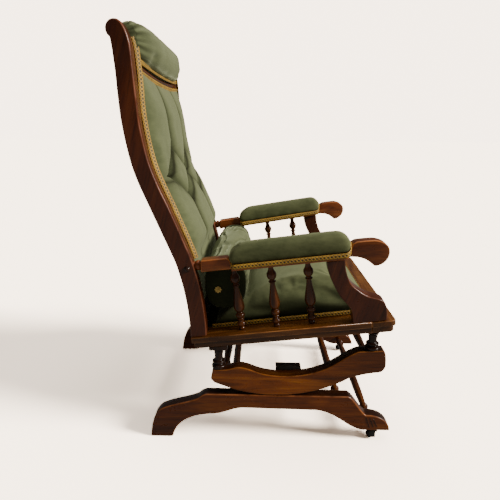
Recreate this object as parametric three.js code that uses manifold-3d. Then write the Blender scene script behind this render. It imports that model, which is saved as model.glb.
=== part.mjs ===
// Upholstered platform rocking chair. Millimetres, +Z up, the sitter faces +X, -Y is the sitter's right.
// The rockers roll on the flat tops of two fixed runners, so the chair's centre of rolling lies on one
// line across the chair, rockRadius above the runners. Everything is laid out from the values below.
import * as THREE from 'three';
import { mergeVertices } from 'three/addons/utils/BufferGeometryUtils.js';
import Module from 'manifold-3d';

const wasm = await Module();
wasm.setup();

// Driving dimensions
const gap = 0.3;                    // clearance left between neighbouring pieces
const sides = { right: -1, left: 1 };

const runnerY = 252.5;              // centre plane of a runner, and of the rocker above it
const plankThickness = 34;          // runners and rockers
const runnerTop = 135;
const rockRadius = 380;             // radius of the rockers' rolling edge
const rollX = 40;                   // where the rockers touch the runners at rest
const rollCentreZ = runnerTop + rockRadius;

const seatSlope = THREE.MathUtils.degToRad(7.25);   // the seat rises towards the front
const seatOriginZ = 323;            // top of the seat frame above x = 0
const seatThickness = 32;
const seatUpperBand = 15;
const seatBandStep = 5;             // the lower band of the edge moulding stands back by this
const seatRear = -181;
const seatFront = 342;
const seatRearHalf = 274;
const seatFrontHalf = 288;
const seatRailWidth = 60;

const stileThickness = 32;
const stileOuterY = 270;
const stileHalfWidth = 21;
const stileLine = [[-159, 300], [-168, 400], [-192, 503], [-239, 622], [-283, 730], [-304, 841],
  [-310, 947], [-314, 996]];
const scrollCentre = [-326, 1032];
const scrollRadius = 20.5;
const stileInnerY = stileOuterY - stileThickness;

const armSlope = 0.15;              // rise of the arm's underside per millimetre
const armOriginZ = 502;             // underside of the arm above x = 0
const armRearX = -150;
const armRearY = 256;
const armSplay = 0.091;             // outward run of the arm per millimetre towards the front
const armWidth = 34;
const armHeight = 30;
const padBoardWidth = 70;
const padBoardThickness = 14;
const padRear = -72;
const padFront = 207;
const padHeight = 45;
const pinRadius = 3.2;
const pinLength = 9;

const woodRed = { color: 0x5a2a16, roughness: 0.3, metalness: 0 };
const woodDark = { color: 0x2c1510, roughness: 0.28, metalness: 0 };
const woodGold = { color: 0x7a3d18, roughness: 0.32, metalness: 0 };
const velvet = { color: 0x66704a, roughness: 0.95, metalness: 0 };
const ticking = { color: 0x2a2620, roughness: 0.9, metalness: 0 };
const iron = { color: 0x1c1b1a, roughness: 0.5, metalness: 0.8 };
const steel = { color: 0x55524e, roughness: 0.45, metalness: 0.9 };
const brass = { color: 0xa8813a, roughness: 0.35, metalness: 0.9 };

const seatTop = (x) => seatOriginZ + Math.tan(seatSlope) * x;
const armUnder = (x) => armOriginZ + armSlope * x;
const armY = (x) => armRearY + armSplay * (x - armRearX);
const seatHalf = (x) => seatRearHalf + (seatFrontHalf - seatRearHalf) * (x - seatRear)
  / (seatFront - seatRear);

const chair = new THREE.Group();

function add(name, geometry, finish, parent = chair) {
  const mesh = new THREE.Mesh(geometry, new THREE.MeshStandardMaterial(finish));
  mesh.name = name;
  parent.add(mesh);
  return mesh;
}

// Booleans
function solid(geometry) {
  const plain = geometry.clone();
  plain.deleteAttribute('normal');
  plain.deleteAttribute('uv');
  const merged = mergeVertices(plain, 1e-3);
  return new wasm.Manifold(new wasm.Mesh({
    numProp: 3,
    vertProperties: merged.attributes.position.array,
    triVerts: new Uint32Array(merged.index.array),
  }));
}

function geometryOf(manifold) {
  const mesh = manifold.getMesh();
  const geometry = new THREE.BufferGeometry();
  geometry.setAttribute('position', new THREE.BufferAttribute(new Float32Array(mesh.vertProperties), 3));
  geometry.setIndex(new THREE.BufferAttribute(new Uint32Array(mesh.triVerts), 1));
  return geometry;
}

const join = (...parts) => geometryOf(parts.map(solid).reduce((a, b) => a.add(b)));
const cut = (body, ...tools) => geometryOf(tools.map(solid).reduce((a, b) => a.subtract(b), solid(body)));

// Basic forms
function outline(points) {
  return new THREE.Shape(points.map(([x, y]) => new THREE.Vector2(x, y)));
}

// The same outline as straight steps, without points that fall on their neighbour.
function stepped(shape, curveSegments) {
  const points = shape.extractPoints(curveSegments).shape;
  const kept = points.filter((point, i) => point.distanceTo(points[(i + 1) % points.length]) > 0.2);
  return new THREE.Shape(kept);
}

// A shape drawn in the side view (x, z), made as thick as given and centred on the plane y = centreY.
function plank(drawn, thickness, centreY = 0, curveSegments = 8) {
  const shape = stepped(drawn, curveSegments);
  const geometry = new THREE.ExtrudeGeometry(shape, { depth: thickness, bevelEnabled: false });
  return geometry.translate(0, 0, -thickness / 2).rotateX(Math.PI / 2).translate(0, centreY, 0);
}

// A shape drawn in plan (x, y), from z = low to z = high.
function slab(drawn, low, high, curveSegments = 6) {
  const shape = stepped(drawn, curveSegments);
  const geometry = new THREE.ExtrudeGeometry(shape, { depth: high - low, bevelEnabled: false });
  return geometry.translate(0, 0, low);
}

function box(low, high) {
  const size = low.map((value, i) => high[i] - value);
  const middle = low.map((value, i) => (value + high[i]) / 2);
  return new THREE.BoxGeometry(...size).translate(...middle);
}

// A turned piece: [radius, height] pairs from the foot up, about the z axis.
function turned(profile, segments = 12) {
  const points = profile.map(([radius, height]) => new THREE.Vector2(radius, height));
  points.unshift(new THREE.Vector2(0, profile[0][1]));
  points.push(new THREE.Vector2(0, profile[profile.length - 1][1]));
  return new THREE.LatheGeometry(points, segments).rotateX(Math.PI / 2);
}

// Turns a piece made along z so that it runs from one point to another.
function aim(mesh, from, to) {
  const direction = new THREE.Vector3(...to).sub(new THREE.Vector3(...from)).normalize();
  mesh.position.set(...from);
  mesh.quaternion.setFromUnitVectors(new THREE.Vector3(0, 0, 1), direction);
  return mesh;
}

// Base: runners, their stretchers and the casters
function runnerShape() {
  const shape = new THREE.Shape();
  shape.moveTo(-300, 0);
  shape.bezierCurveTo(-296, 45, -286, 84, -257, 92);
  shape.bezierCurveTo(-226, 105, -192, 108, -166, 122);
  shape.quadraticCurveTo(-152, 135, -140, runnerTop);
  shape.lineTo(238, runnerTop);
  shape.bezierCurveTo(254, 128, 266, 98, 288, 79);
  shape.bezierCurveTo(326, 80, 352, 62, 356, 32);
  shape.lineTo(288, 32);
  shape.bezierCurveTo(238, 34, 212, 88, 150, 91);
  shape.lineTo(-40, 94);
  shape.bezierCurveTo(-78, 94, -88, 75, -135, 73);
  shape.bezierCurveTo(-190, 68, -228, 48, -239, 0);
  return shape;
}

const baseStretchers = { front: [300, 56, 11], middle: [214, 112, 12], rear: [-73, 112, 11] };
const rockerStretchers = { front: [286, 238, 11], rear: [-94, 188, 11] };

// A turned rail between two planks: thick in the middle, with a ring near each end.
function stretcher(radius) {
  const half = runnerY - plankThickness / 2 - gap;
  return turned([[radius * 0.72, -half], [radius * 0.8, -half * 0.86], [radius * 1.08, -half * 0.83],
    [radius * 0.8, -half * 0.8], [radius, -half * 0.4], [radius, half * 0.4], [radius * 0.8, half * 0.8],
    [radius * 1.08, half * 0.83], [radius * 0.8, half * 0.86], [radius * 0.72, half]], 8);
}

function addStretchers(prefix, places) {
  for (const [where, [x, z, radius]] of Object.entries(places)) {
    const rail = add(`${prefix}_stretcher_${where}`, stretcher(radius), woodDark);
    rail.rotation.x = -Math.PI / 2;
    rail.position.set(x, 0, z);
  }
}

const casterX = 315;
const casterTrail = 8;
const wheelRadius = 11;
const wheelWidth = 15;
const casterPlateTop = 32 - gap;
const casterPlateThickness = 3;

function casterHorn() {
  const top = casterPlateTop - casterPlateThickness - gap;
  const arms = [-1, 1].map((s) => box([-casterTrail - 5, s * 10.6 - 1.4, wheelRadius - 4],
    [4, s * 10.6 + 1.4, top - 2]));
  const bridge = box([-casterTrail - 5, -12, top - 3.5], [9, 12, top]);
  const axle = turned([[2, -12], [2, 12]], 10).rotateX(Math.PI / 2).translate(-casterTrail, 0, wheelRadius);
  return join(bridge, ...arms, axle);
}

function casterWheel() {
  const half = wheelWidth / 2;
  const tyre = turned([[wheelRadius - 3, -half], [wheelRadius, -half + 3], [wheelRadius, half - 3],
    [wheelRadius - 3, half]], 20);
  return cut(tyre, turned([[2.4, -half - 1], [2.4, half + 1]], 10)).rotateX(Math.PI / 2);
}

function addBase(side, s) {
  add(`runner_${side}`, plank(runnerShape(), plankThickness, 0, 7), woodRed).position.y = s * runnerY;
  const plate = turned([[13, -casterPlateThickness], [13, 0]], 16);
  add(`caster_plate_${side}`, plate, brass).position.set(casterX, s * runnerY, casterPlateTop);
  add(`caster_horn_${side}`, casterHorn(), brass).position.set(casterX, s * runnerY, 0);
  const wheel = add(`caster_wheel_${side}`, casterWheel(), iron);
  wheel.position.set(casterX - casterTrail, s * runnerY, wheelRadius);
}

// Spring units: a bracket on the runner, a domed bracket on the rocker, and two coils between them
const springX = 78;
const springPitch = 34;
const springY = 213;
const springRadius = 12;
const wireRadius = 2.1;
const springLow = 108;
const springHigh = 190;
const cupDepth = 12;
const cupWall = 3;
const cupRadius = springRadius + wireRadius + cupWall + 0.6;
const bracketFaceY = runnerY - plankThickness / 2 - gap;

class Helix extends THREE.Curve {
  constructor(radius, low, high, turns) {
    super();
    Object.assign(this, { radius, low, high, turns });
  }

  getPoint(t, target = new THREE.Vector3()) {
    const angle = 2 * Math.PI * this.turns * t;
    const z = this.low + (this.high - this.low) * t;
    return target.set(this.radius * Math.cos(angle), this.radius * Math.sin(angle), z);
  }
}

function coil() {
  const wire = outline([0, 1, 2, 3, 4].map((i) => {
    const angle = 2 * Math.PI * i / 5;
    return [wireRadius * Math.cos(angle), wireRadius * Math.sin(angle)];
  }));
  const path = new Helix(springRadius, springLow + wireRadius + gap, springHigh - wireRadius - gap, 5.5);
  return new THREE.ExtrudeGeometry(wire, { steps: 46, bevelEnabled: false, extrudePath: path });
}

// Two cups on a shelf, with a round-topped plate against the plank. mouth is 1 where the cups open
// upwards and -1 where they open downwards; floorZ is the bottom of the cups.
function springBracket(floorZ, mouth, plateLow, plateHigh, s) {
  const half = springPitch / 2 + cupRadius;
  const rise = 12;
  const tube = (radius, from, to, x) => turned([[radius, Math.min(from, to)], [radius, Math.max(from, to)]], 14)
    .translate(x, s * springY, 0);
  const spots = [-springPitch / 2, springPitch / 2];
  const cups = spots.map((x) => tube(cupRadius, floorZ - mouth * 2, floorZ + mouth * cupDepth, x));
  const hollows = spots.map((x) => tube(cupRadius - cupWall, floorZ, floorZ + mouth * (cupDepth + 1), x));
  const edges = [s * (springY - cupRadius), s * bracketFaceY].sort((a, b) => a - b);
  const faces = [floorZ, floorZ - mouth * cupWall].sort((a, b) => a - b);
  const shelf = box([-half, edges[0], faces[0]], [half, edges[1], faces[1]]);
  const shape = new THREE.Shape();
  shape.moveTo(-half, plateLow);
  shape.lineTo(half, plateLow);
  shape.absellipse(0, plateHigh - rise, half, rise, 0, Math.PI, false);
  const plate = plank(shape, 4, s * (bracketFaceY - 2), 6);
  return cut(join(shelf, plate, ...cups), ...hollows);
}

function addSprings(side, s) {
  const lower = springBracket(springLow, 1, springLow - 12, runnerTop - 6, s);
  add(`spring_bracket_lower_${side}`, lower, iron).position.x = springX;
  const upper = springBracket(springHigh, -1, springHigh - 34, springHigh + 14, s);
  add(`spring_bracket_upper_${side}`, upper, iron).position.x = springX;
  [['rear', -1], ['front', 1]].forEach(([end, e]) => {
    const spring = add(`coil_spring_${side}_${end}`, coil(), steel);
    spring.position.set(springX + e * springPitch / 2, s * springY, 0);
  });
}

// Rockers and legs
const rockerRear = -129;
const rockerFront = 329;
const rockerArcFront = 238;

function rockerShape() {
  const onArc = (x) => rollCentreZ - Math.sqrt(rockRadius ** 2 - (x - rollX) ** 2);
  const angleAt = (x) => Math.atan2(onArc(x) - rollCentreZ, x - rollX);
  const arcRear = rockerRear + 6;
  const shape = new THREE.Shape();
  shape.moveTo(arcRear, onArc(arcRear) + gap);
  shape.absarc(rollX, rollCentreZ + gap, rockRadius, angleAt(arcRear), angleAt(rockerArcFront), false);
  shape.bezierCurveTo(262, 200, 290, 206, 312, 208);
  shape.quadraticCurveTo(rockerFront - 3, 211, rockerFront, 228);
  shape.quadraticCurveTo(rockerFront, 262, rockerFront - 8, 272);
  shape.lineTo(258, 268);
  shape.bezierCurveTo(225, 258, 196, 222, 150, 207);
  shape.bezierCurveTo(100, 189, 30, 188, -12, 205);
  shape.quadraticCurveTo(-40, 217, -56, 217);
  shape.lineTo(-90, 209);
  shape.lineTo(-124, 208.5);
  shape.quadraticCurveTo(rockerRear - 2, 190, rockerRear - 1, 180);
  return shape;
}

const legs = { front: [293, 271.5], rear: [-110, 209.5] };   // where each leg stands on the rocker

function leg(height) {
  const h = (part) => height * part;
  return turned([[18, 0], [18.5, h(0.12)], [13, h(0.2)], [15.5, h(0.28)], [11, h(0.42)], [11.5, h(0.7)],
    [15.5, h(0.82)], [15.5, h(1)]], 14);
}

function addRockerAndLegs(side, s) {
  add(`rocker_${side}`, plank(rockerShape(), plankThickness, 0, 9), woodGold).position.y = s * runnerY;
  for (const [end, [x, z]] of Object.entries(legs)) {
    const height = seatTop(x) - seatThickness - z;
    const block = box([-24, -18, height - 12], [24, 18, height + 10]);
    const aboveSeat = box([-60, -60, 0], [60, 60, 60]).rotateY(-seatSlope).translate(0, 0, height - 0.8);
    const whole = end === 'rear' ? join(leg(height + 4), block) : leg(height + 4);
    add(`leg_${end}_${side}`, cut(whole, aboveSeat), woodDark).position.set(x, s * runnerY, z + gap);
  }
}

// Seat frame, drawn lying flat and then sloped
const seat = new THREE.Group();
seat.position.z = seatOriginZ;
seat.rotation.y = -seatSlope;
chair.add(seat);

function moulded(shapeOf) {
  const upper = slab(shapeOf(0), -seatUpperBand, 0);
  const lower = slab(shapeOf(seatBandStep), -seatThickness, -seatUpperBand + 0.5);
  return join(upper, lower);
}

function sideRailShape(s) {
  return (step) => {
    const front = seatFront - seatRailWidth - gap;
    const edge = (x) => seatHalf(x) - step;
    return outline([[seatRear + step, s * edge(seatRear)], [front, s * edge(front)],
      [front, s * (seatHalf(front) - seatRailWidth)], [seatRear + step, s * (seatRearHalf - seatRailWidth)]]);
  };
}

function frontRailShape(step) {
  const front = seatFront - step;
  const back = seatFront - seatRailWidth;
  const edge = seatFrontHalf - step;
  const corner = 16;
  const shape = new THREE.Shape();
  shape.moveTo(back, seatHalf(back) - step);
  shape.lineTo(back, -seatHalf(back) + step);
  shape.lineTo(front - corner, -edge);
  shape.quadraticCurveTo(front, -edge, front, -edge + corner);
  shape.lineTo(front, edge - corner);
  shape.quadraticCurveTo(front, edge, front - corner, edge);
  return shape;
}

function addSeatFrame() {
  for (const [side, s] of Object.entries(sides)) {
    add(`seat_rail_${side}`, moulded(sideRailShape(s)), woodRed, seat);
  }
  add('seat_rail_front', moulded(frontRailShape), woodRed, seat);
  const half = seatRearHalf - seatRailWidth - 2;
  const rear = box([seatRear, -half, -seatThickness], [seatRear + seatRailWidth, half, 0]);
  add('seat_rail_rear', rear, woodRed, seat);
  const webFront = seatFront - seatRailWidth - 2;
  const webRear = seatRear + seatRailWidth + 2;
  const web = box([webRear, -half + 2, -26], [webFront, half - 2, -22]);
  add('seat_webbing', web, ticking, seat);
}

// Back: two sawn stiles with scrolled heads, the rails between them
function stileCurve() {
  return new THREE.SplineCurve(stileLine.map(([x, z]) => new THREE.Vector2(x, z)));
}

// Points of the stile's edge, offset forwards (+) or backwards (-) from its centre line.
function alongStile(offset, from, to, count) {
  const curve = stileCurve();
  return Array.from({ length: count + 1 }, (_, i) => {
    const t = from + (to - from) * i / count;
    const point = curve.getPoint(t);
    const tangent = curve.getTangent(t);
    return [point.x + offset * tangent.y, point.y - offset * tangent.x];
  });
}

function stileShape() {
  const foot = gap / Math.cos(seatSlope);
  const shape = new THREE.Shape();
  const front = alongStile(stileHalfWidth, 0.03, 1, 14);
  const rear = alongStile(-stileHalfWidth, 1, 0.03, 14);
  const [frontX] = front[0];
  const [rearX] = rear[rear.length - 1];
  shape.moveTo(rearX, seatTop(rearX) + foot);
  shape.lineTo(frontX, seatTop(frontX) + foot);
  front.forEach(([x, z]) => shape.lineTo(x, z));
  const [cx, cz] = scrollCentre;
  shape.quadraticCurveTo(-297, 1026, cx + scrollRadius * 0.8, cz + scrollRadius * 0.6);
  shape.absarc(cx, cz, scrollRadius, 0.64, 4.1, false);
  rear.forEach(([x, z]) => shape.lineTo(x, z));
  return shape;
}

// A piece that fills the back between the stiles, between two offsets of the stiles' centre line.
function backFill(offsets, from, to, halfWidth) {
  const front = alongStile(offsets[1], from, to, 14);
  const rear = alongStile(offsets[0], to, from, 14);
  return plank(outline([...front, ...rear]), 2 * halfWidth);
}

function crossRail() {
  const half = stileInnerY - gap - 2.2;   // the ends are square to the bow, so they reach a little past this
  const path = new THREE.QuadraticBezierCurve3(new THREE.Vector3(-299, -half, 962),
    new THREE.Vector3(-293, 0, 936), new THREE.Vector3(-299, half, 962));
  const section = outline([[-9, -9], [9, -9], [9, 9], [-9, 9]]);
  return new THREE.ExtrudeGeometry(section, { steps: 10, bevelEnabled: false, extrudePath: path });
}

function addBack() {
  const half = stileInnerY - gap;
  for (const [side, s] of Object.entries(sides)) {
    const stile = add(`back_stile_${side}`, plank(stileShape(), stileThickness, 0, 7), woodRed);
    stile.position.y = s * (stileOuterY - stileThickness / 2);
    const cover = turned([[8, gap], [7.5, 2.5], [4, 5]], 14).rotateX(-s * Math.PI / 2);
    add(`screw_cover_${side}`, cover, woodDark).position.set(-184, s * stileOuterY, 487);
  }
  add('back_top_rail', box([-342, -half, 985], [-322, half, 1028]), woodRed);
  add('back_cross_rail', crossRail(), woodRed);
  add('back_bottom_rail', box([-180, -half, 312], [-158, half, 352]), woodRed);
  add('back_outside_panel', backFill([-20, -16], 0.09, 0.93, half), ticking);
}

// Arms, with the turned spindles and sawn supports under them
function armShape() {
  const shape = new THREE.Shape();
  const recess = (x) => armUnder(x) + padBoardThickness;
  shape.moveTo(armRearX, armUnder(armRearX));
  shape.lineTo(196, armUnder(196));
  shape.bezierCurveTo(226, 536, 246, 533, 266, 513);
  shape.bezierCurveTo(284, 513, 300, 530, 299, 549);
  shape.bezierCurveTo(298, 566, 284, 575, 262, 576);
  shape.lineTo(222, 571);
  shape.quadraticCurveTo(214, 566, padFront + 2, recess(padFront + 2));
  shape.lineTo(padRear - 2, recess(padRear - 2));
  shape.lineTo(padRear - 14, armUnder(padRear - 14) + armHeight);
  shape.lineTo(armRearX, armUnder(armRearX) + armHeight);
  return shape;
}

function padOutline(inset) {
  const half = padBoardWidth / 2 - inset;
  const front = padFront - inset;
  const rear = padRear + inset;
  const corner = 14;
  const shape = new THREE.Shape();
  shape.moveTo(rear, -half);
  shape.lineTo(front - corner, -half);
  shape.quadraticCurveTo(front, -half, front, -half + corner);
  shape.lineTo(front, half - corner);
  shape.quadraticCurveTo(front, half, front - corner, half);
  shape.lineTo(rear, half);
  return shape;
}

// Slopes a piece drawn level so that it follows the arm: z becomes height above the arm's underside.
function followArm(geometry, s) {
  const position = geometry.attributes.position;
  for (let i = 0; i < position.count; i += 1) {
    const x = position.getX(i);
    position.setXYZ(i, x, position.getY(i) + s * armY(x), position.getZ(i) + armUnder(x));
  }
  return geometry;
}

function armRail(s) {
  const spine = plank(armShape(), armWidth, 0, 8);
  spine.attributes.position.array.forEach((value, i, all) => {
    if (i % 3 === 1) all[i] = value + s * armY(all[i - 1]);
  });
  const board = followArm(slab(padOutline(0), 0, padBoardThickness), s);
  const ferruleFrom = -171;
  const ferrule = turned([[9, ferruleFrom], [11, ferruleFrom + 4], [11, ferruleFrom + 9],
    [8, ferruleFrom + 13], [8, armRearX + 4]], 12).rotateY(Math.PI / 2)
    .translate(0, s * (armRearY - 1), armUnder(armRearX) + 14);
  const pinHole = turned([[pinRadius + 0.4, 0], [pinRadius + 0.4, 40]], 12).rotateX(-s * Math.PI / 2)
    .translate(rollX, s * (armY(rollX) + padBoardWidth / 2 - pinLength - 1), rollCentreZ);
  const stile = plank(stileShape(), stileThickness + 2, s * (stileOuterY - stileThickness / 2), 7)
    .translate(gap + 0.1, 0, 0);
  return cut(join(spine, board, ferrule), pinHole, stile);
}

function armPad(s) {
  const layers = [[0, padBoardThickness + gap], [1, 30], [6, 46], [16, padBoardThickness + padHeight - 4],
    [26, padBoardThickness + padHeight]];
  const rings = layers.map(([inset, z]) => padOutline(inset).extractPoints(4).shape
    .map((point) => [point.x, point.y, z]));
  const count = rings[0].length;
  const positions = rings.flat(2);
  const index = [];
  for (let layer = 0; layer < rings.length - 1; layer += 1) {
    for (let i = 0; i < count; i += 1) {
      const a = layer * count + i;
      const b = layer * count + (i + 1) % count;
      index.push(a, b, b + count, a, b + count, a + count);
    }
  }
  const top = (rings.length - 1) * count;
  const lid = THREE.ShapeUtils.triangulateShape(rings[0].map(([x, y]) => new THREE.Vector2(x, y)), []);
  lid.forEach(([a, b, c]) => index.push(a, c, b, top + a, top + b, top + c));
  const geometry = new THREE.BufferGeometry();
  geometry.setAttribute('position', new THREE.BufferAttribute(new Float32Array(positions), 3));
  geometry.setIndex(index);
  return followArm(geometry, s);
}

const supportFoot = [232, 316];
const supportThickness = 36;
const supportLean = THREE.MathUtils.degToRad(6);

function supportShape() {
  const clear = gap / Math.cos(supportLean);
  const [rearX, frontX] = supportFoot;
  const shape = new THREE.Shape();
  shape.moveTo(rearX, seatTop(rearX) + clear);
  shape.lineTo(frontX, seatTop(frontX) + clear);
  shape.splineThru([[313, 392], [300, 418], [258, 432], [220, 461], [204, 495], [199, 527]]
    .map(([x, z]) => new THREE.Vector2(x, z)));
  shape.lineTo(156, 520.5);
  shape.splineThru([[164, 486], [192, 431], [224, 392], [rearX, seatTop(rearX) + clear]]
    .map(([x, z]) => new THREE.Vector2(x, z)));
  return shape;
}

const spindleFeet = [-48, 43, 133];
const spindleLean = -21;            // how far the top of a spindle stands behind its foot

function spindle(length) {
  const h = (part) => length * part;
  return turned([[9, 0], [6, h(0.04)], [11.5, h(0.1)], [5.5, h(0.18)], [9, h(0.24)], [6, h(0.28)],
    [15, h(0.42)], [13, h(0.53)], [6.5, h(0.74)], [10, h(0.77)], [12.5, h(0.86)], [6, h(0.95)],
    [8, h(1)]], 8);
}

function addArm(side, s) {
  add(`arm_rail_${side}`, armRail(s), woodRed);
  add(`arm_pad_${side}`, armPad(s), velvet);
  const pin = turned([[pinRadius, 0], [pinRadius, pinLength]], 12).rotateX(-s * Math.PI / 2);
  add(`arm_pin_${side}`, pin, woodDark)
    .position.set(rollX, s * (armY(rollX) + padBoardWidth / 2 - pinLength), rollCentreZ);
  const support = add(`arm_support_${side}`, plank(supportShape(), supportThickness, 0, 3), woodRed);
  const pivotZ = seatTop(supportFoot[0]);
  support.geometry.translate(0, 0, -pivotZ);
  support.rotation.x = -s * supportLean;
  support.position.set(0, s * 266, pivotZ + 2.2);
  spindleFeet.forEach((x, i) => {
    const topX = x + spindleLean;
    const foot = [x, s * (seatHalf(x) - 32), seatTop(x) + 1.7];
    const head = [topX, s * armY(topX), armUnder(topX) - 1.8];
    const length = new THREE.Vector3(...head).distanceTo(new THREE.Vector3(...foot));
    aim(add(`spindle_${side}_${i + 1}`, spindle(length), woodDark), foot, head);
  });
}

// Upholstery: plain solids of the room that each padded piece takes up
const bolsterHalf = 224;
const bolsterSection = [[-66, 361], [-46, 376], [-34, 404], [-31, 436], [-37, 470], [-52, 497], [-76, 509],
  [-104, 509], [-130, 498], [-147, 478], [-154, 452], [-153, 420], [-147, 390], [-136, 364], [-120, 356]];

function addUpholstery() {
  const cushion = new THREE.Shape();
  cushion.moveTo(-128, 1);
  cushion.lineTo(296, 1);
  cushion.bezierCurveTo(306, 30, 290, 78, 240, 86);
  cushion.bezierCurveTo(120, 100, 30, 84, -34, 46);
  cushion.quadraticCurveTo(-122, 38, -128, 1);
  add('seat_cushion', plank(cushion, 2 * 222, 0, 8), velvet, seat);
  const half = stileInnerY - 1.5;
  const back = plank(outline([[-150, 358], [-168, 430], [-172, 480], ...alongStile(54, 0.34, 0.825, 12),
    ...alongStile(-13, 0.835, 0.1, 12)]), 2 * half);
  add('back_pad', back, velvet);
  const pillow = new THREE.Shape();
  pillow.moveTo(-314, 976);
  pillow.lineTo(-286, 974);
  pillow.bezierCurveTo(-252, 980, -252, 1040, -288, 1048);
  pillow.bezierCurveTo(-304, 1053, -330, 1053, -340, 1034);
  pillow.lineTo(-318, 1032);
  add('head_pillow', plank(pillow, 2 * half, 0, 8), velvet);
  const roll = new THREE.Shape();
  bolsterSection.forEach(([x, z], i) => (i ? roll.lineTo(x, z) : roll.moveTo(x, z)));
  add('lumbar_bolster', plank(roll, 2 * bolsterHalf), velvet);
}

addStretchers('base', baseStretchers);
addStretchers('rocker', rockerStretchers);
addSeatFrame();
addBack();
addUpholstery();
for (const [side, s] of Object.entries(sides)) {
  addBase(side, s);
  addSprings(side, s);
  addRockerAndLegs(side, s);
  addArm(side, s);
}

// The origin is on the floor under the middle of the chair's length.
const extent = new THREE.Box3().setFromObject(chair);
chair.position.x = -(extent.min.x + extent.max.x) / 2;

export default chair;
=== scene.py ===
import math

import bmesh
import bpy
from mathutils import Matrix, Vector, noise


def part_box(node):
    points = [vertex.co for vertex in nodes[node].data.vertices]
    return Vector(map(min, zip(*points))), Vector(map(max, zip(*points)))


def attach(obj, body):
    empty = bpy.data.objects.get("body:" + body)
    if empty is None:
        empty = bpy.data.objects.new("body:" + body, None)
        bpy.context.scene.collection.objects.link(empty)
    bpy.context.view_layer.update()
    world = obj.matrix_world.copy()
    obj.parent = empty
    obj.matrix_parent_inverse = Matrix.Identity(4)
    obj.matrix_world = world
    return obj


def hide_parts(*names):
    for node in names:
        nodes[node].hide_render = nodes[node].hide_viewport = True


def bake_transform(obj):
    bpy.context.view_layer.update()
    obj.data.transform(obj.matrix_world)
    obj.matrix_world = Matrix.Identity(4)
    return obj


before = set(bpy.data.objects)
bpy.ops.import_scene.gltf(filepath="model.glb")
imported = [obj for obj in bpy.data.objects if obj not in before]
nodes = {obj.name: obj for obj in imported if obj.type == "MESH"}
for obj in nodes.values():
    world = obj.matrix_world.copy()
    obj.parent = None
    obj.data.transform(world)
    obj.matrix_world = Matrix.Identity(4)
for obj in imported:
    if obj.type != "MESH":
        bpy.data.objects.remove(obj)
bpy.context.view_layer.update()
SIDES = {"right": -1, "left": 1}
UP = Vector((0, 0, 1))
DRAWING_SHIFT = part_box("runner_right")[0].x + 0.300     # from the drawing's x to the model's


def at(x, y, z):
    """A point of the drawing, given in millimetres, as a place in the model."""
    return Vector((x / 1000 + DRAWING_SHIFT, y / 1000, z / 1000))


# ---------------------------------------------------------------- materials

def new_material(name):
    material = bpy.data.materials.new(name)
    material.use_nodes = True
    tree = material.node_tree
    shader = tree.nodes["Principled BSDF"]
    return material, tree, shader


def node(tree, kind, sockets=None, **settings):
    made = tree.nodes.new("ShaderNode" + kind)
    for key, value in settings.items():
        setattr(made, key, value)
    for key, value in (sockets or {}).items():
        if isinstance(value, bpy.types.NodeSocket):
            tree.links.new(value, made.inputs[key])
        else:
            made.inputs[key].default_value = value
    return made


def ramp(tree, factor, stops):
    made = node(tree, "ValToRGB", {"Fac": factor})
    band = made.color_ramp
    while len(band.elements) < len(stops):
        band.elements.new(0.5)
    for element, (position, colour) in zip(band.elements, stops):
        element.position = position
        element.color = (*colour, 1)
    return made.outputs["Color"]


def shade(value):
    return (value, value, value)


def mix(tree, factor, first, second, how="MIX"):
    made = node(tree, "Mix", data_type="RGBA", blend_type=how)
    for socket, value in ((made.inputs[0], factor), (made.inputs[6], first), (made.inputs[7], second)):
        if isinstance(value, bpy.types.NodeSocket):
            tree.links.new(value, socket)
        elif isinstance(value, (int, float)):
            socket.default_value = value
        else:
            socket.default_value = (*value, 1)
    return made.outputs[2]


def placed(tree, scale, turn=(0, 0, 0)):
    where = node(tree, "TexCoord").outputs["Object"]
    return node(tree, "Mapping", {"Vector": where, "Scale": scale, "Rotation": turn}).outputs["Vector"]


def noise_at(tree, vector, scale, detail=3, roughness=0.55, distortion=0.0):
    made = node(tree, "TexNoise", {"Vector": vector, "Scale": scale, "Detail": detail,
                                   "Roughness": roughness, "Distortion": distortion})
    return made.outputs["Fac"]


def bump(tree, shader, height, strength, distance, before=None):
    sockets = {"Height": height, "Strength": strength, "Distance": distance}
    if before is not None:
        sockets["Normal"] = before
    made = node(tree, "Bump", sockets)
    tree.links.new(made.outputs["Normal"], shader.inputs["Normal"])
    return made.outputs["Normal"]


def along_grain(tree, axis, lengthways, across, tilt):
    """Object coordinates leaned over by a tilt, then drawn out along the grain."""
    scale = [across] * 3
    scale["xyz".index(axis)] = lengthways
    leaned = placed(tree, (1, 1, 1), (0, tilt, 0))
    return node(tree, "Mapping", {"Vector": leaned, "Scale": scale}).outputs["Vector"]


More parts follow.
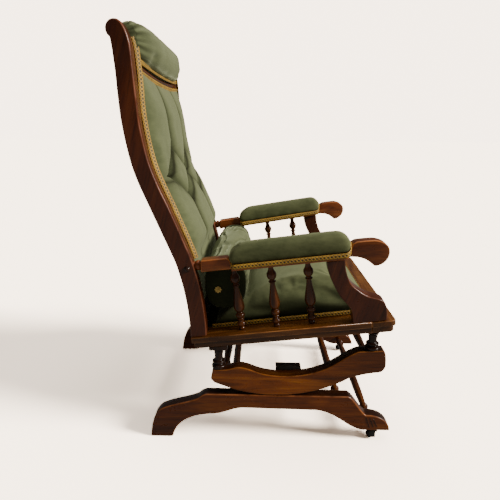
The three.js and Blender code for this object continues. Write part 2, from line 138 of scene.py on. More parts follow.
def polished_wood(name, along, dark, middle, light, gloss=0.26, worn_and_highlight=0.5, tilt=0.0, fade=None):
    """French-polished timber with its grain along one axis, pale along its rounded edges, partly rubbed
    wear and partly a painted highlight on the arrises, and darkened by painted shade on marked faces.
    """
    material, tree, shader = new_material(name)
    fibres = along_grain(tree, along, 1.6, 16, tilt)
    pores = along_grain(tree, along, 14, 260, tilt)
    broad = along_grain(tree, along, 2.2, 5, tilt)
    figure = noise_at(tree, fibres, 2.6, 6, 0.62, 0.8)
    pore = noise_at(tree, pores, 1.0, 3, 0.6)
    cloud = noise_at(tree, broad, 1.7, 3, 0.5)
    colour = ramp(tree, figure, [(0.30, dark), (0.52, middle), (0.74, light)])
    clouds = ramp(tree, cloud, [(0.3, shade(0.62)), (0.7, shade(1.25))])
    colour = mix(tree, 0.85, colour, clouds, "MULTIPLY")
    pore_dark = ramp(tree, pore, [(0.36, shade(0.45)), (0.5, shade(1.0))])
    colour = mix(tree, 0.6, colour, pore_dark, "MULTIPLY")
    if fade:
        where = node(tree, "SeparateXYZ", {"Vector": placed(tree, (1, 1, 1))}).outputs["X"]
        part = node(tree, "MapRange", {"Value": where, "From Min": fade[0], "From Max": fade[1]}).outputs[0]
        colour = mix(tree, part, colour, mix(tree, 1.0, colour, fade[2], "MULTIPLY"))
    # Painted shade: where the face attribute is set, the colour is multiplied down towards a near-black
    # grey.
    painted_shade_mask = node(tree, "Attribute", attribute_name="painted_shade").outputs["Fac"]
    colour = mix(tree, painted_shade_mask, colour, mix(tree, 1.0, colour, (0.13, 0.13, 0.15), "MULTIPLY"))
    # Partly wear, partly painted highlight: the middles of the rounded edges go pale in patches.
    wear_and_highlight = node(tree, "Attribute", attribute_name="wear_and_highlight").outputs["Fac"]
    patches = ramp(tree, noise_at(tree, placed(tree, (9, 9, 9)), 2.0, 4, 0.6),
                   [(0.4, shade(0.15)), (0.62, shade(1.0))])
    edge_wear_and_highlight = node(tree, "Math", {0: wear_and_highlight, 1: patches}, operation="MULTIPLY").outputs[0]
    edge_wear_and_highlight = node(tree, "Math", {0: edge_wear_and_highlight, 1: worn_and_highlight}, operation="MULTIPLY").outputs[0]
    pale = tuple(min(1.0, 1.9 * value + 0.03) for value in light)
    tree.links.new(mix(tree, edge_wear_and_highlight, colour, pale), shader.inputs["Base Color"])
    rough = ramp(tree, noise_at(tree, placed(tree, (7, 7, 7)), 3.0, 4, 0.6),
                 [(0.3, shade(gloss - 0.05)), (0.7, shade(gloss + 0.16))])
    tree.links.new(rough, shader.inputs["Roughness"])
    shader.inputs["Coat Weight"].default_value = 0.14
    shader.inputs["Coat Roughness"].default_value = 0.16
    shader.inputs["Specular IOR Level"].default_value = 0.32
    first = bump(tree, shader, pore, 0.22, 0.0004)
    bump(tree, shader, cloud, 0.10, 0.002, first)
    return material


# Each timber is (dark, middle, light).
RED = ((0.046, 0.0085, 0.0022), (0.072, 0.0145, 0.0032), (0.112, 0.026, 0.0050))
WARM = ((0.085, 0.018, 0.0008), (0.200, 0.047, 0.0018), (0.360, 0.110, 0.0070))
DARK = ((0.008, 0.0028, 0.0012), (0.020, 0.0060, 0.0020), (0.050, 0.014, 0.0036))
TURNED = ((0.022, 0.0060, 0.0017), (0.078, 0.0210, 0.0044), (0.210, 0.062, 0.0110))
BROWN = ((0.060, 0.0120, 0.0014), (0.130, 0.0290, 0.0022), (0.230, 0.064, 0.0055))
ARM = ((0.135, 0.030, 0.0075), (0.240, 0.060, 0.0125), (0.390, 0.125, 0.0250))
SEAT_FRAME = ((0.075, 0.021, 0.0035), (0.170, 0.056, 0.0100), (0.310, 0.120, 0.0250))
mahogany_x = polished_wood("mahogany_long", "x", *ARM, worn_and_highlight=0.7)
runner_x = polished_wood("runner_mahogany_long", "x", *BROWN, fade=(-0.08, -0.30, (0.62, 0.55, 0.5)))
# The stiles' pale edges are partly a painted highlight along their front arris.
mahogany_z = polished_wood("mahogany_upright", "z", *RED, worn_and_highlight=0.8, tilt=math.radians(-14))
warm_x = polished_wood("seat_rail_long", "x", *SEAT_FRAME, gloss=0.20, worn_and_highlight=0.5)
warm_y = polished_wood("seat_rail_cross", "y", *SEAT_FRAME, gloss=0.20, worn_and_highlight=0.5)
golden_x = polished_wood("golden_mahogany_long", "x", *WARM, gloss=0.24, worn_and_highlight=0.3,
                         fade=(0.06, 0.27, (0.44, 0.42, 0.75)))
dark_y = polished_wood("dark_turning_cross", "y", *DARK, gloss=0.2, worn_and_highlight=0.2)
turned_y = polished_wood("stretcher_turning", "y", *TURNED, gloss=0.2, worn_and_highlight=0.2)
dark_z = polished_wood("dark_turning_upright", "z", *DARK, gloss=0.18, worn_and_highlight=0.2)
turned_z = polished_wood("spindle_turning", "z", *TURNED, gloss=0.17, worn_and_highlight=0.2)


def velvet(name, deep, lit, painted_sheen, sheen=0.5):
    """Cotton velvet with patches where the nap is brushed, and a painted sheen: pale where it is seen at a
    grazing angle, darker seen straight on.
    """
    material, tree, shader = new_material(name)
    # Painted sheen: the base colour goes towards the pale third colour where the surface is seen at a
    # grazing angle.
    facing = node(tree, "LayerWeight", {"Blend": 0.42}).outputs["Facing"]
    brushed = noise_at(tree, placed(tree, (1, 1, 1)), 9, 4, 0.6, 0.6)
    streaks = noise_at(tree, placed(tree, (1, 1, 3)), 34, 3, 0.6)
    crushed = mix(tree, 0.35, brushed, streaks)
    body = ramp(tree, crushed, [(0.34, deep), (0.66, lit)])
    colour = mix(tree, ramp(tree, facing, [(0.25, shade(0.0)), (0.95, shade(0.75))]), body, painted_sheen)
    # Painted shade: folds, creases and the steep sides of the stuffing are multiplied down towards a dark
    # olive by the attribute written with the velvet.
    tucked = node(tree, "Attribute", attribute_name="painted_shade").outputs["Fac"]
    colour = mix(tree, tucked, colour, mix(tree, 1.0, colour, (0.16, 0.155, 0.12), "MULTIPLY"))
    tree.links.new(colour, shader.inputs["Base Color"])
    shader.inputs["Roughness"].default_value = 0.88
    shader.inputs["Specular IOR Level"].default_value = 0.12
    shader.inputs["Sheen Weight"].default_value = sheen
    shader.inputs["Sheen Roughness"].default_value = 0.38
    shader.inputs["Sheen Tint"].default_value = (0.72, 0.80, 0.50, 1)
    pile = noise_at(tree, placed(tree, (1, 1, 1)), 1500, 2, 0.7)
    first = bump(tree, shader, pile, 0.35, 0.0005)
    bump(tree, shader, brushed, 0.25, 0.004, first)
    return material


# The third colour of each velvet is its painted sheen.
velvet_back = velvet("green_velvet_back", (0.070, 0.083, 0.037), (0.128, 0.144, 0.067),
                     (0.20, 0.215, 0.115))
velvet_seat = velvet("green_velvet_seat", (0.070, 0.080, 0.034), (0.142, 0.154, 0.069),
                     (0.20, 0.215, 0.105), 0.3)
# Painted shade: a darkened copy of the green velvet for the bolster's end panels, which sit in shade under
# the arms.
velvet_painted_shade = velvet("green_velvet_painted_shade", (0.018, 0.022, 0.009), (0.036, 0.042, 0.018),
                     (0.07, 0.08, 0.04), 0.2)


BRAID_PERIOD = 0.017


def braid():
    """Woven gold gimp: two gold strands that cross over a dark ground. U is the length in metres."""
    material, tree, shader = new_material("gold_gimp_braid")
    uv = node(tree, "UVMap", uv_map="braid").outputs["UV"]
    split = node(tree, "SeparateXYZ", {"Vector": uv})
    along, across = split.outputs["X"], split.outputs["Y"]

    def math_of(operation, first, second=0.0):
        return node(tree, "Math", {0: first, 1: second}, operation=operation).outputs[0]

    run = math_of("MULTIPLY", along, 2 * math.pi / BRAID_PERIOD)
    wave = math_of("SINE", run)
    offset = math_of("MULTIPLY", math_of("SUBTRACT", across, 0.5), 2.7)
    gap_one = math_of("ABSOLUTE", math_of("SUBTRACT", offset, wave))
    gap_two = math_of("ABSOLUTE", math_of("ADD", offset, wave))
    near = math_of("MINIMUM", gap_one, gap_two)
    strand = ramp(tree, near, [(0.30, shade(1.0)), (0.62, shade(0.0))])
    rim = ramp(tree, math_of("ABSOLUTE", math_of("SUBTRACT", across, 0.5)),
               [(0.36, shade(0.0)), (0.44, shade(1.0))])
    cover = mix(tree, 1.0, strand, rim, "LIGHTEN")
    twist = math_of("SINE", math_of("MULTIPLY", along, 2 * math.pi / 0.0013))
    threads = ramp(tree, twist, [(0.0, (0.40, 0.22, 0.020)), (1.0, (0.80, 0.49, 0.050))])
    aged = ramp(tree, noise_at(tree, placed(tree, (1, 1, 1)), 28, 3, 0.6),
                [(0.3, (0.62, 0.55, 0.45)), (0.7, (1.1, 1.05, 0.95))])
    gold = mix(tree, 1.0, threads, aged, "MULTIPLY")
    ground = mix(tree, 0.5, (0.060, 0.045, 0.014), (0.035, 0.040, 0.016))
    tree.links.new(mix(tree, cover, ground, gold), shader.inputs["Base Color"])
    shader.inputs["Roughness"].default_value = 0.55
    shader.inputs["Sheen Weight"].default_value = 0.1
    shader.inputs["Sheen Tint"].default_value = (1.0, 0.8, 0.35, 1)
    first = bump(tree, shader, cover, 0.6, 0.0009)
    bump(tree, shader, twist, 0.25, 0.0003, first)
    return material


def woven(name, thread, gap_colour, pitch, turn=(0, 0, 0), rough=0.9):
    """Plain woven cloth with a visible thread."""
    material, tree, shader = new_material(name)
    where = placed(tree, (1, 1, 1), turn)
    split = node(tree, "SeparateXYZ", {"Vector": where})
    lines = []
    for axis in ("X", "Y", "Z"):
        scaled = node(tree, "Math", {0: split.outputs[axis], 1: math.pi / pitch}, operation="MULTIPLY")
        wave = node(tree, "Math", {0: scaled.outputs[0]}, operation="SINE")
        lines.append(node(tree, "Math", {0: wave.outputs[0]}, operation="ABSOLUTE").outputs[0])
    weave = node(tree, "Math", {0: lines[0], 1: lines[1]}, operation="MULTIPLY").outputs[0]
    weave = node(tree, "Math", {0: weave, 1: lines[2]}, operation="MAXIMUM").outputs[0]
    uneven = noise_at(tree, where, 40, 4, 0.6)
    tone = mix(tree, 0.35, weave, uneven)
    tree.links.new(ramp(tree, tone, [(0.2, gap_colour), (0.75, thread)]), shader.inputs["Base Color"])
    shader.inputs["Roughness"].default_value = rough
    shader.inputs["Sheen Weight"].default_value = 0.2
    bump(tree, shader, weave, 0.4, 0.0004)
    return material


def metal(name, colour, dull, rust, rough, metallic, grain=60.0):
    material, tree, shader = new_material(name)
    where = placed(tree, (1, 1, 1))
    spots = noise_at(tree, where, grain, 5, 0.65)
    tone = ramp(tree, spots, [(0.32, rust), (0.5, dull), (0.68, colour)])
    tree.links.new(tone, shader.inputs["Base Color"])
    tree.links.new(ramp(tree, spots, [(0.3, shade(rough + 0.2)), (0.7, shade(rough))]),
                   shader.inputs["Roughness"])
    shader.inputs["Metallic"].default_value = metallic
    bump(tree, shader, noise_at(tree, where, grain * 9, 3, 0.6), 0.2, 0.0003)
    return material


gimp_gold = braid()
cambric = woven("black_cambric_cloth", (0.030, 0.028, 0.026), (0.010, 0.009, 0.008), 0.0011)
jute = woven("jute_webbing_cloth", (0.42, 0.32, 0.19), (0.16, 0.11, 0.06), 0.0024)
iron = metal("japanned_iron", (0.020, 0.019, 0.018), (0.012, 0.011, 0.010), (0.035, 0.018, 0.010), 0.38,
             0.35)
steel = metal("oiled_spring_steel", (0.20, 0.19, 0.175), (0.10, 0.095, 0.088), (0.09, 0.045, 0.022),
              0.35, 0.85)
brass = metal("aged_brass_fitting", (0.48, 0.33, 0.13), (0.30, 0.20, 0.08), (0.10, 0.07, 0.035), 0.3,
              0.9, 45)
bright_gold = metal("gold_rosette_thread", (0.85, 0.62, 0.18), (0.66, 0.45, 0.12), (0.38, 0.24, 0.06),
                    0.4, 0.3, 90)

# ---------------------------------------------------------------- making pieces


def finish_piece(shape, name, material, body, stands_for=(), flat_faces=()):
    """Turns a finished bmesh into a piece that rides on a body, with smooth shading."""
    for face in shape.faces:
        face.smooth = face not in flat_faces
    mesh = bpy.data.meshes.new(name)
    shape.to_mesh(mesh)
    shape.free()
    mesh.materials.append(material)
    item = bpy.data.objects.new(name, mesh)
    bpy.context.scene.collection.objects.link(item)
    if body:
        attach(item, body)
    if stands_for:
        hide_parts(*stands_for)
    return item


def copy_of_node(name):
    shape = bmesh.new()
    shape.from_mesh(nodes[name].data)
    bmesh.ops.remove_doubles(shape, verts=shape.verts, dist=2e-5)
    bmesh.ops.dissolve_limit(shape, angle_limit=0.03, verts=shape.verts, edges=shape.edges)
    return shape


def round_edges(shape, edges, radius, steps=3):
    """Rounds edges, and marks the middle of each rounding in the layer for rubbed wear and a painted
    highlight along the arris.
    """
    made = bmesh.ops.bevel(shape, geom=edges, offset=radius, segments=steps, profile=0.5,
                           affect="EDGES", material=-1, clamp_overlap=True)
    rounded = set(made["faces"])
    layer = shape.loops.layers.float.get("wear_and_highlight") or shape.loops.layers.float.new("wear_and_highlight")
    for face in rounded:
        for loop in face.loops:
            if all(other in rounded for other in loop.vert.link_faces):
                loop[layer] = 1.0
    return rounded


def sharp_edges(shape, least=0.6, keep=None):
    return [edge for edge in shape.edges if len(edge.link_faces) == 2
            and edge.calc_face_angle(0) > least and (keep is None or keep(edge))]


def big_faces(shape, area=6e-4):
    return {face for face in shape.faces if face.calc_area() > area}


def rounded_copy(name, new_name, material, body, radius, least=0.6, keep=None, steps=3):
    """A CAD solid of the right shape, with its sawn edges rounded."""
    shape = copy_of_node(name)
    round_edges(shape, sharp_edges(shape, least, keep), radius, steps)
    flats = big_faces(shape)
    return finish_piece(shape, new_name, material, body, (name,), flats)


def smoothed_outline(points, spacing=0.005, corner=math.radians(32), straight=0.062):
    """The outline of a sawn plank as a smooth line: corners and long straight runs stay as drawn."""
    count = len(points)
    chords = [points[(i + 1) % count] - points[i] for i in range(count)]
    is_corner = [chords[i - 1].angle(chords[i]) > corner for i in range(count)]

    def direction(i, chord):
        if is_corner[i] or chords[chord].length > straight:
            return chords[chord].normalized()
        before, after = chords[i - 1], chords[i]
        if before.length > straight:
            return before.normalized()
        if after.length > straight:
            return after.normalized()
        return (before / before.length_squared + after / after.length_squared).normalized()

    result = []
    for i in range(count):
        start, end = points[i], points[(i + 1) % count]
        length = chords[i].length
        tangents = direction(i, i) * length, direction((i + 1) % count, i) * length
        if length > straight or chords[i].angle(tangents[0]) + chords[i].angle(tangents[1]) < 0.02:
            result.append(start)
            continue
        steps = max(1, round(length / spacing))
        for k in range(steps):
            t = k / steps
            result.append(start * (2 * t ** 3 - 3 * t ** 2 + 1) + tangents[0] * (t ** 3 - 2 * t ** 2 + t)
                          + end * (3 * t ** 2 - 2 * t ** 3) + tangents[1] * (t ** 3 - t ** 2))
    return result


def sawn(outline, thickness_vector, radius=0.003, steps=3):
    """A plank of the given outline, sawn square and with both arrises rounded."""
    shape = bmesh.new()
    face = shape.faces.new([shape.verts.new(point) for point in outline])
    pushed = bmesh.ops.extrude_face_region(shape, geom=[face])
    moved = [item for item in pushed["geom"] if isinstance(item, bmesh.types.BMVert)]
    bmesh.ops.translate(shape, verts=moved, vec=thickness_vector)
    bmesh.ops.recalc_face_normals(shape, faces=shape.faces)
    ends = sorted(shape.faces, key=lambda item: -item.calc_area())[:2]
    arrises = [edge for end in ends for edge in end.edges]
    upright = [edge for edge in sharp_edges(shape, 0.75) if edge not in set(arrises)]
    round_edges(shape, arrises + upright, radius, steps)
    return shape


def sawn_from_node(name, new_name, material, body="chair", radius=0.003):
    """A CAD plank again, with its curves drawn finer and its edges rounded."""
    shape = copy_of_node(name)
    ends = sorted(shape.faces, key=lambda item: -item.calc_area())[:2]
    outline = [vertex.co.copy() for vertex in ends[0].verts]
    middles = [end.calc_center_median() for end in ends]
    normal = ends[0].normal.copy()
    thickness = normal * (middles[1] - middles[0]).dot(normal)
    shape.free()
    made = sawn(smoothed_outline(outline), thickness, radius)
    return finish_piece(made, new_name, material, body, (name,), big_faces(made, 2e-3))


def spline(points, steps=4):
    """Rows of numbers joined by a smooth line through them."""
    rows = [points[0], *points, points[-1]]
    result = []
    for i in range(1, len(rows) - 2):
        a, b, c, d = rows[i - 1:i + 3]
        for k in range(steps):
            t = k / steps
            result.append(tuple(0.5 * (2 * q + (r - p) * t + (2 * p - 5 * q + 4 * r - s) * t * t
                                       + (3 * q - p - 3 * r + s) * t ** 3)
                                for p, q, r, s in zip(a, b, c, d)))
    result.append(tuple(points[-1]))
    return result


def turning(profile, start, end, steps=32):
    """A turned piece between two points. Profile rows are (radius, share of the length)."""
    length = (end - start).length
    shape = bmesh.new()
    rows = [(0.0, profile[0][1]), *profile, (0.0, profile[-1][1])]
    line = [shape.verts.new((radius, 0, share * length)) for radius, share in rows]
    edges = [shape.edges.new(pair) for pair in zip(line, line[1:])]
    bmesh.ops.spin(shape, geom=line + edges, cent=(0, 0, 0), axis=UP, angle=2 * math.pi, steps=steps,
                   use_merge=True, dvec=(0, 0, 0))
    bmesh.ops.remove_doubles(shape, verts=shape.verts, dist=1e-6)
    bmesh.ops.recalc_face_normals(shape, faces=shape.faces)
    turn = (end - start).to_track_quat("Z", "Y").to_matrix().to_4x4()
    bmesh.ops.transform(shape, matrix=Matrix.Translation(start) @ turn, verts=shape.verts)
    return shape


def ends_along(name, axis):
    """The middles of a CAD piece's two ends along an axis."""
    low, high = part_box(name)
    middle = (low + high) / 2
    start, end = middle.copy(), middle.copy()
    start[axis], end[axis] = low[axis], high[axis]
    return start, end


def merged(target, other):
    """Adds one bmesh to another."""
    mesh = bpy.data.meshes.new("joined")
    other.to_mesh(mesh)
    other.free()
    target.from_mesh(mesh)
    bpy.data.meshes.remove(mesh)


def mark_painted_shade(item, shade_of):
    """Writes the painted shade of each place of the velvet, from 0 to 1, darkest in folds and on steep
    sides: the given function works it out from (place, outward way).
    """
    mesh = item.data
    layer = mesh.attributes.new("painted_shade", "FLOAT", "POINT")
    for vertex, value in zip(mesh.vertices, layer.data):
        value.value = min(max(shade_of(vertex.co, vertex.normal), 0.0), 1.0)


def mark_faces(item, amount_of):
    """Painted shade darkens some faces: amount_of(how far the face looks up)."""
    mesh = item.data
    layer = mesh.attributes.new("painted_shade", "FLOAT", "FACE")
    for polygon, value in zip(mesh.polygons, layer.data):
        value.value = amount_of(polygon.normal.z)


# Painted shade on faces that look up, such as the tops of the runners and rockers.
def dark_top(up):
    return 0.88 * smooth_step(up, 0.5, 0.8)


# Painted shade on faces that look sideways or down, such as the seat rails' nosing.
def dark_side(up):
    return 0.5 * (1 - smooth_step(up, 0.3, 0.8))


def smooth_step(value, low, high):
    part = min(max((value - low) / (high - low), 0.0), 1.0)
    return part * part * (3 - 2 * part)


# ---------------------------------------------------------------- frame of the chair

def toe_lines(side, s):
    """The carved lines across a runner's front toe, as thin raised beads."""
    low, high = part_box(f"runner_{side}")
    outer = low.y if s < 0 else high.y
    shape = bmesh.new()
    for i, (x, z, drop) in enumerate(((289, 74, 34), (299, 72, 30), (309, 69, 26))):
        top = at(x, 0, z)
        top.y = outer + s * 0.0002
        foot = top + Vector((0.012, 0, -drop / 1000))
        merged(shape, turning([(0.0004, 0), (0.0011, 0.1), (0.0011, 0.9), (0.0004, 1)], top, foot, 8))
    return finish_piece(shape, f"toe_carving_{side}", dark_z, "base")


for side, s in SIDES.items():
    runner = sawn_from_node(f"runner_{side}", f"sawn_runner_{side}", runner_x, "base", 0.0035)
    rocker = sawn_from_node(f"rocker_{side}", f"sawn_rocker_{side}", golden_x,
                            "chair", 0.0035)
    # Painted shade on the tops of the runner and the rocker.
    mark_faces(runner, dark_top)
    mark_faces(rocker, dark_top)
    sawn_from_node(f"back_stile_{side}", f"scrolled_stile_{side}", mahogany_z, "chair", 0.004)
    sawn_from_node(f"arm_support_{side}", f"sawn_arm_support_{side}", mahogany_z, "chair",
                   0.003)
    toe_lines(side, s)

STRETCHER = [(0.0075, 0), (0.0085, 0.03), (0.0092, 0.06), (0.0088, 0.072), (0.0118, 0.078), (0.0122, 0.084),
             (0.0118, 0.09), (0.0085, 0.096), (0.0088, 0.12), (0.0108, 0.24), (0.0114, 0.38), (0.0114, 0.5)]
for place in ("front", "middle", "rear"):
    for owner, body in (("base", "base"), ("rocker", "chair")):
        name = f"{owner}_stretcher_{place}"
        if name not in nodes:
            continue
        start, end = ends_along(name, 1)
        half = spline(STRETCHER, 3)
        whole = half + [(radius, 1 - share) for radius, share in reversed(half[:-1])]
        rail = turning(whole, start, end, 24)
        finish_piece(rail, f"turned_{name}", turned_y, body, (name,))

LEG = [(0.0178, 0), (0.0186, 0.05), (0.0186, 0.10), (0.0150, 0.135), (0.0118, 0.17), (0.0120, 0.195),
       (0.0162, 0.225), (0.0170, 0.26), (0.0160, 0.295), (0.0116, 0.32), (0.0108, 0.40), (0.0110, 0.52),
       (0.0120, 0.64), (0.0126, 0.72), (0.0112, 0.755), (0.0152, 0.785), (0.0158, 0.815), (0.0150, 0.845),
       (0.0138, 0.87), (0.0154, 0.90), (0.0154, 1.0)]
for side, s in SIDES.items():
    for place in ("front", "rear"):
        name = f"leg_{place}_{side}"
        start, end = ends_along(name, 2)
        low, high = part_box(name)
        if place == "front":
            end.z = (low.z + high.z) / 2 + (high.z - low.z) / 2 - 0.001
        leg = turning(spline(LEG, 3), start, end, 28)
        if place == "rear":
            block = copy_of_node(name)
            cut = bmesh.ops.bisect_plane(block, geom=block.verts[:] + block.edges[:] + block.faces[:],
                                         plane_co=(0, 0, high.z - 0.021), plane_no=(0, 0, 1),
                                         clear_inner=True)
            rim = [item for item in cut["geom_cut"] if isinstance(item, bmesh.types.BMEdge)]
            bmesh.ops.holes_fill(block, edges=rim)
            round_edges(block, sharp_edges(block, 0.6), 0.0015, 2)
            merged(leg, block)
        finish_piece(leg, f"turned_{name}", dark_z, "chair", (name,))

# The seat frame has a rounded nosing over a second band, and closed corners.
SEAT_ORIGIN = at(0, 0, 323)
SEAT_SLOPE = math.radians(7.25)
seat_matrix = Matrix.Translation(SEAT_ORIGIN) @ Matrix.Rotation(-SEAT_SLOPE, 4, "Y")
to_seat = seat_matrix.inverted()


def seat_place(x, y, z):
    """A point of the seat's own drawing, in millimetres, laid flat before its slope."""
    return seat_matrix @ Vector((x / 1000, y / 1000, z / 1000))


def outside_edges(least_x, least_y):
    """Keeps the edges that run along the outside of the seat frame."""
    def keep(edge):
        a, b = (to_seat @ vertex.co for vertex in edge.verts)
        middle = (a + b) / 2
        along_front = middle.x > least_x and abs(a.x - b.x) < 0.02
        along_side = abs(middle.y) > least_y and abs(a.y - b.y) < 0.02
        return (along_front or along_side) and (a - b).length > 1e-4
    return keep


for side in SIDES:
    rail = rounded_copy(f"seat_rail_{side}", f"moulded_seat_rail_{side}", warm_x, "chair",
                        0.0045, keep=outside_edges(9, 0.262))
    # Painted shade on the sides of the seat rails.
    mark_faces(rail, dark_side)
rail = rounded_copy("seat_rail_front", "moulded_seat_rail_front", warm_y, "chair",
                    0.0045, least=0.5, keep=outside_edges(0.325, 0.275))
# Painted shade on the sides of the front seat rail.
mark_faces(rail, dark_side)
rounded_copy("seat_rail_rear", "seat_rail_rear_planed", dark_y, "chair", 0.002)
rounded_copy("back_top_rail", "back_top_rail_planed", dark_y, "chair", 0.003)
rounded_copy("back_bottom_rail", "back_bottom_rail_planed", dark_y, "chair", 0.003)


def strip_grid(points_of, length_steps, across_steps, closed_across=False):
    """A sheet made from a grid: points_of(u, v) gives the place of each crossing, u and v from 0 to 1."""
    shape = bmesh.new()
    bmesh.ops.create_grid(shape, x_segments=length_steps, y_segments=across_steps, size=0.5)
    for vertex in shape.verts:
        u, v = vertex.co.x + 0.5, vertex.co.y + 0.5
        vertex.co = points_of(min(max(u, 0), 1), min(max(v, 0), 1))
    if closed_across:
        bmesh.ops.remove_doubles(shape, verts=shape.verts, dist=1e-5)
        rims = [edge for edge in shape.edges if edge.is_boundary]
        if rims:
            bmesh.ops.holes_fill(shape, edges=rims)
    bmesh.ops.recalc_face_normals(shape, faces=shape.faces)
    return shape


def cross_rail():
    """The reeded rail between the head pillow and the back, bowed down in the middle."""
    low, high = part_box("back_cross_rail")
    half = (high.y - low.y) / 2

    def place(u, v):
        y = (2 * u - 1) * half
        bow = 1 - (2 * u - 1) ** 2
        centre = at(-299 + 3 * bow, 0, 962 - 13 * bow)
        angle = 2 * math.pi * v
        square = max(abs(math.cos(angle)), abs(math.sin(angle)))
        radius = 0.0088 / max(square, 0.78)
        reeds = 0.0011 * abs(math.sin(angle * 7)) if math.cos(angle) > -0.4 else 0.0
        centre.y = y
        return centre + Vector((math.cos(angle), 0, math.sin(angle))) * (radius - reeds)

    shape = strip_grid(place, 30, 56, True)
    return finish_piece(shape, "reeded_cross_rail", turned_y, "chair", ("back_cross_rail",))


cross_rail()


def bezier(a, b, c, d, steps=10):
    return [tuple((1 - t) ** 3 * p + 3 * (1 - t) ** 2 * t * q + 3 * (1 - t) * t * t * r + t ** 3 * s
                  for p, q, r, s in zip(a, b, c, d)) for t in [k / steps for k in range(steps)]]


PAD_REAR, PAD_FRONT = -72, 207
PAD_HALF = 35


def arm_under(x):
    return 502 + 0.15 * x


def arm_y(x):
    return 256 + 0.091 * (x + 150)


def arm_outline():
    """The sawn arm from the side: flat rear part, sunk bed for the pad, and the scrolled hand."""
    points = [(-150, arm_under(-150)), (20, arm_under(20)), (196, arm_under(196))]
    points += bezier((196, arm_under(196)), (226, 536), (246, 533), (266, 513))[1:]
    points += bezier((266, 513), (284, 513), (300, 530), (299, 549))
    points += bezier((299, 549), (298, 566), (284, 575), (262, 576))
    points += [(262, 576), (242, 574), (222, 571), (214, 566), (210, 558),
               (PAD_FRONT + 2, arm_under(209) + 14)]
    points += [(-74, arm_under(-74) + 14), (-78, arm_under(-78) + 24), (-86, arm_under(-86) + 30),
               (-118, arm_under(-118) + 30), (-150, arm_under(-150) + 30)]
    return points


def arm_piece(side, s):
    outline = [at(x, 0, z) for x, z in arm_outline()]
    shape = sawn(outline, Vector((0, 0.034, 0)), 0.0032)
    bmesh.ops.translate(shape, verts=shape.verts, vec=(0, -0.017, 0))
    for vertex in shape.verts:
        x = (vertex.co.x - DRAWING_SHIFT) * 1000
        vertex.co.y += s * arm_y(x) / 1000
    flats = big_faces(shape, 2e-3)

    def board_place(x, y, height):
        return at(x, s * arm_y(x) + y, arm_under(x) + height)

    board = bmesh.new()
    corner, half = 14, PAD_HALF
    turn = [(PAD_FRONT - corner + corner * math.sin(a), -half + corner - corner * math.cos(a))
            for a in [math.radians(d) for d in range(0, 91, 15)]]
    plan = [(PAD_REAR, -half), (60, -half), *turn]
    plan = plan + [(x, -y) for x, y in reversed(plan)]
    face = board.faces.new([board.verts.new((x / 1000, y / 1000, 0)) for x, y in plan])
    pushed = bmesh.ops.extrude_face_region(board, geom=[face])
    lifted = [item for item in pushed["geom"] if isinstance(item, bmesh.types.BMVert)]
    bmesh.ops.translate(board, verts=lifted, vec=(0, 0, 0.014))
    bmesh.ops.recalc_face_normals(board, faces=board.faces)
    round_edges(board, sharp_edges(board, 1.2), 0.002, 2)
    for vertex in board.verts:
        vertex.co = board_place(vertex.co.x * 1000, vertex.co.y * 1000, vertex.co.z * 1000)
    merged(shape, board)
    knob_from = at(-171, s * 255, arm_under(-150) + 14)
    knob_to = at(-142, s * 255, arm_under(-150) + 14)
    knob = [(0.0070, 0), (0.0098, 0.06), (0.0088, 0.13), (0.0100, 0.20), (0.0124, 0.34), (0.0130, 0.48),
            (0.0118, 0.62), (0.0084, 0.74), (0.0108, 0.82), (0.0112, 0.92), (0.0080, 1.0)]
    merged(shape, turning(spline(knob, 3), knob_from, knob_to, 24))
    arm = finish_piece(shape, f"scrolled_arm_{side}", mahogany_x, "chair",
                       (f"arm_rail_{side}",))
    return arm


def spindle_axis(name):
    """The middles of the two ends of a turned CAD piece: the points where most of its edges meet."""
    shape = bmesh.new()
    shape.from_mesh(nodes[name].data)
    bmesh.ops.remove_doubles(shape, verts=shape.verts, dist=2e-5)
    hubs = sorted(shape.verts, key=lambda vertex: -len(vertex.link_edges))[:2]
    ends = sorted((hub.co.copy() for hub in hubs), key=lambda point: point.z)
    shape.free()
    return ends


SPINDLE = [(0.0085, 0), (0.0090, 0.02), (0.0068, 0.038), (0.0070, 0.048), (0.0108, 0.066),
           (0.0122, 0.090), (0.0108, 0.114), (0.0066, 0.134), (0.0062, 0.150), (0.0092, 0.163),
           (0.0094, 0.174), (0.0066, 0.186), (0.0100, 0.200), (0.0126, 0.228), (0.0118, 0.256),
           (0.0072, 0.276), (0.0068, 0.286), (0.0096, 0.298), (0.0132, 0.325), (0.0152, 0.370),
           (0.0152, 0.410), (0.0136, 0.470), (0.0108, 0.550), (0.0082, 0.630), (0.0068, 0.690),
           (0.0064, 0.712), (0.0098, 0.724), (0.0100, 0.736), (0.0066, 0.748), (0.0072, 0.762),
           (0.0112, 0.790), (0.0134, 0.828), (0.0128, 0.862), (0.0094, 0.894), (0.0070, 0.930),
           (0.0068, 0.955), (0.0084, 0.980), (0.0084, 1.0)]

for side, s in SIDES.items():
    arm_piece(side, s)
    for i in (1, 2, 3):
        name = f"spindle_{side}_{i}"
        foot, head = spindle_axis(name)
        slim = [(0.93 * radius, share) for radius, share in SPINDLE]
        turned = turning(spline(slim, 2), foot, head, 28)
        finish_piece(turned, f"turned_{name}", turned_z, "chair", (name,))
    start, end = ends_along(f"screw_cover_{side}", 1)
    if s < 0:
        start, end = end, start
    cover = turning([(0.0080, 0), (0.0080, 0.25), (0.0072, 0.42), (0.0060, 0.5), (0.0052, 0.62),
                     (0.0046, 0.86),
                     (0.0026, 1.0)], start, end, 24)
    finish_piece(cover, f"turned_screw_cover_{side}", dark_y, "chair",
                 (f"screw_cover_{side}",))
    nodes[f"arm_pin_{side}"].material_slots[0].material = dark_y

# ---------------------------------------------------------------- springs and casters


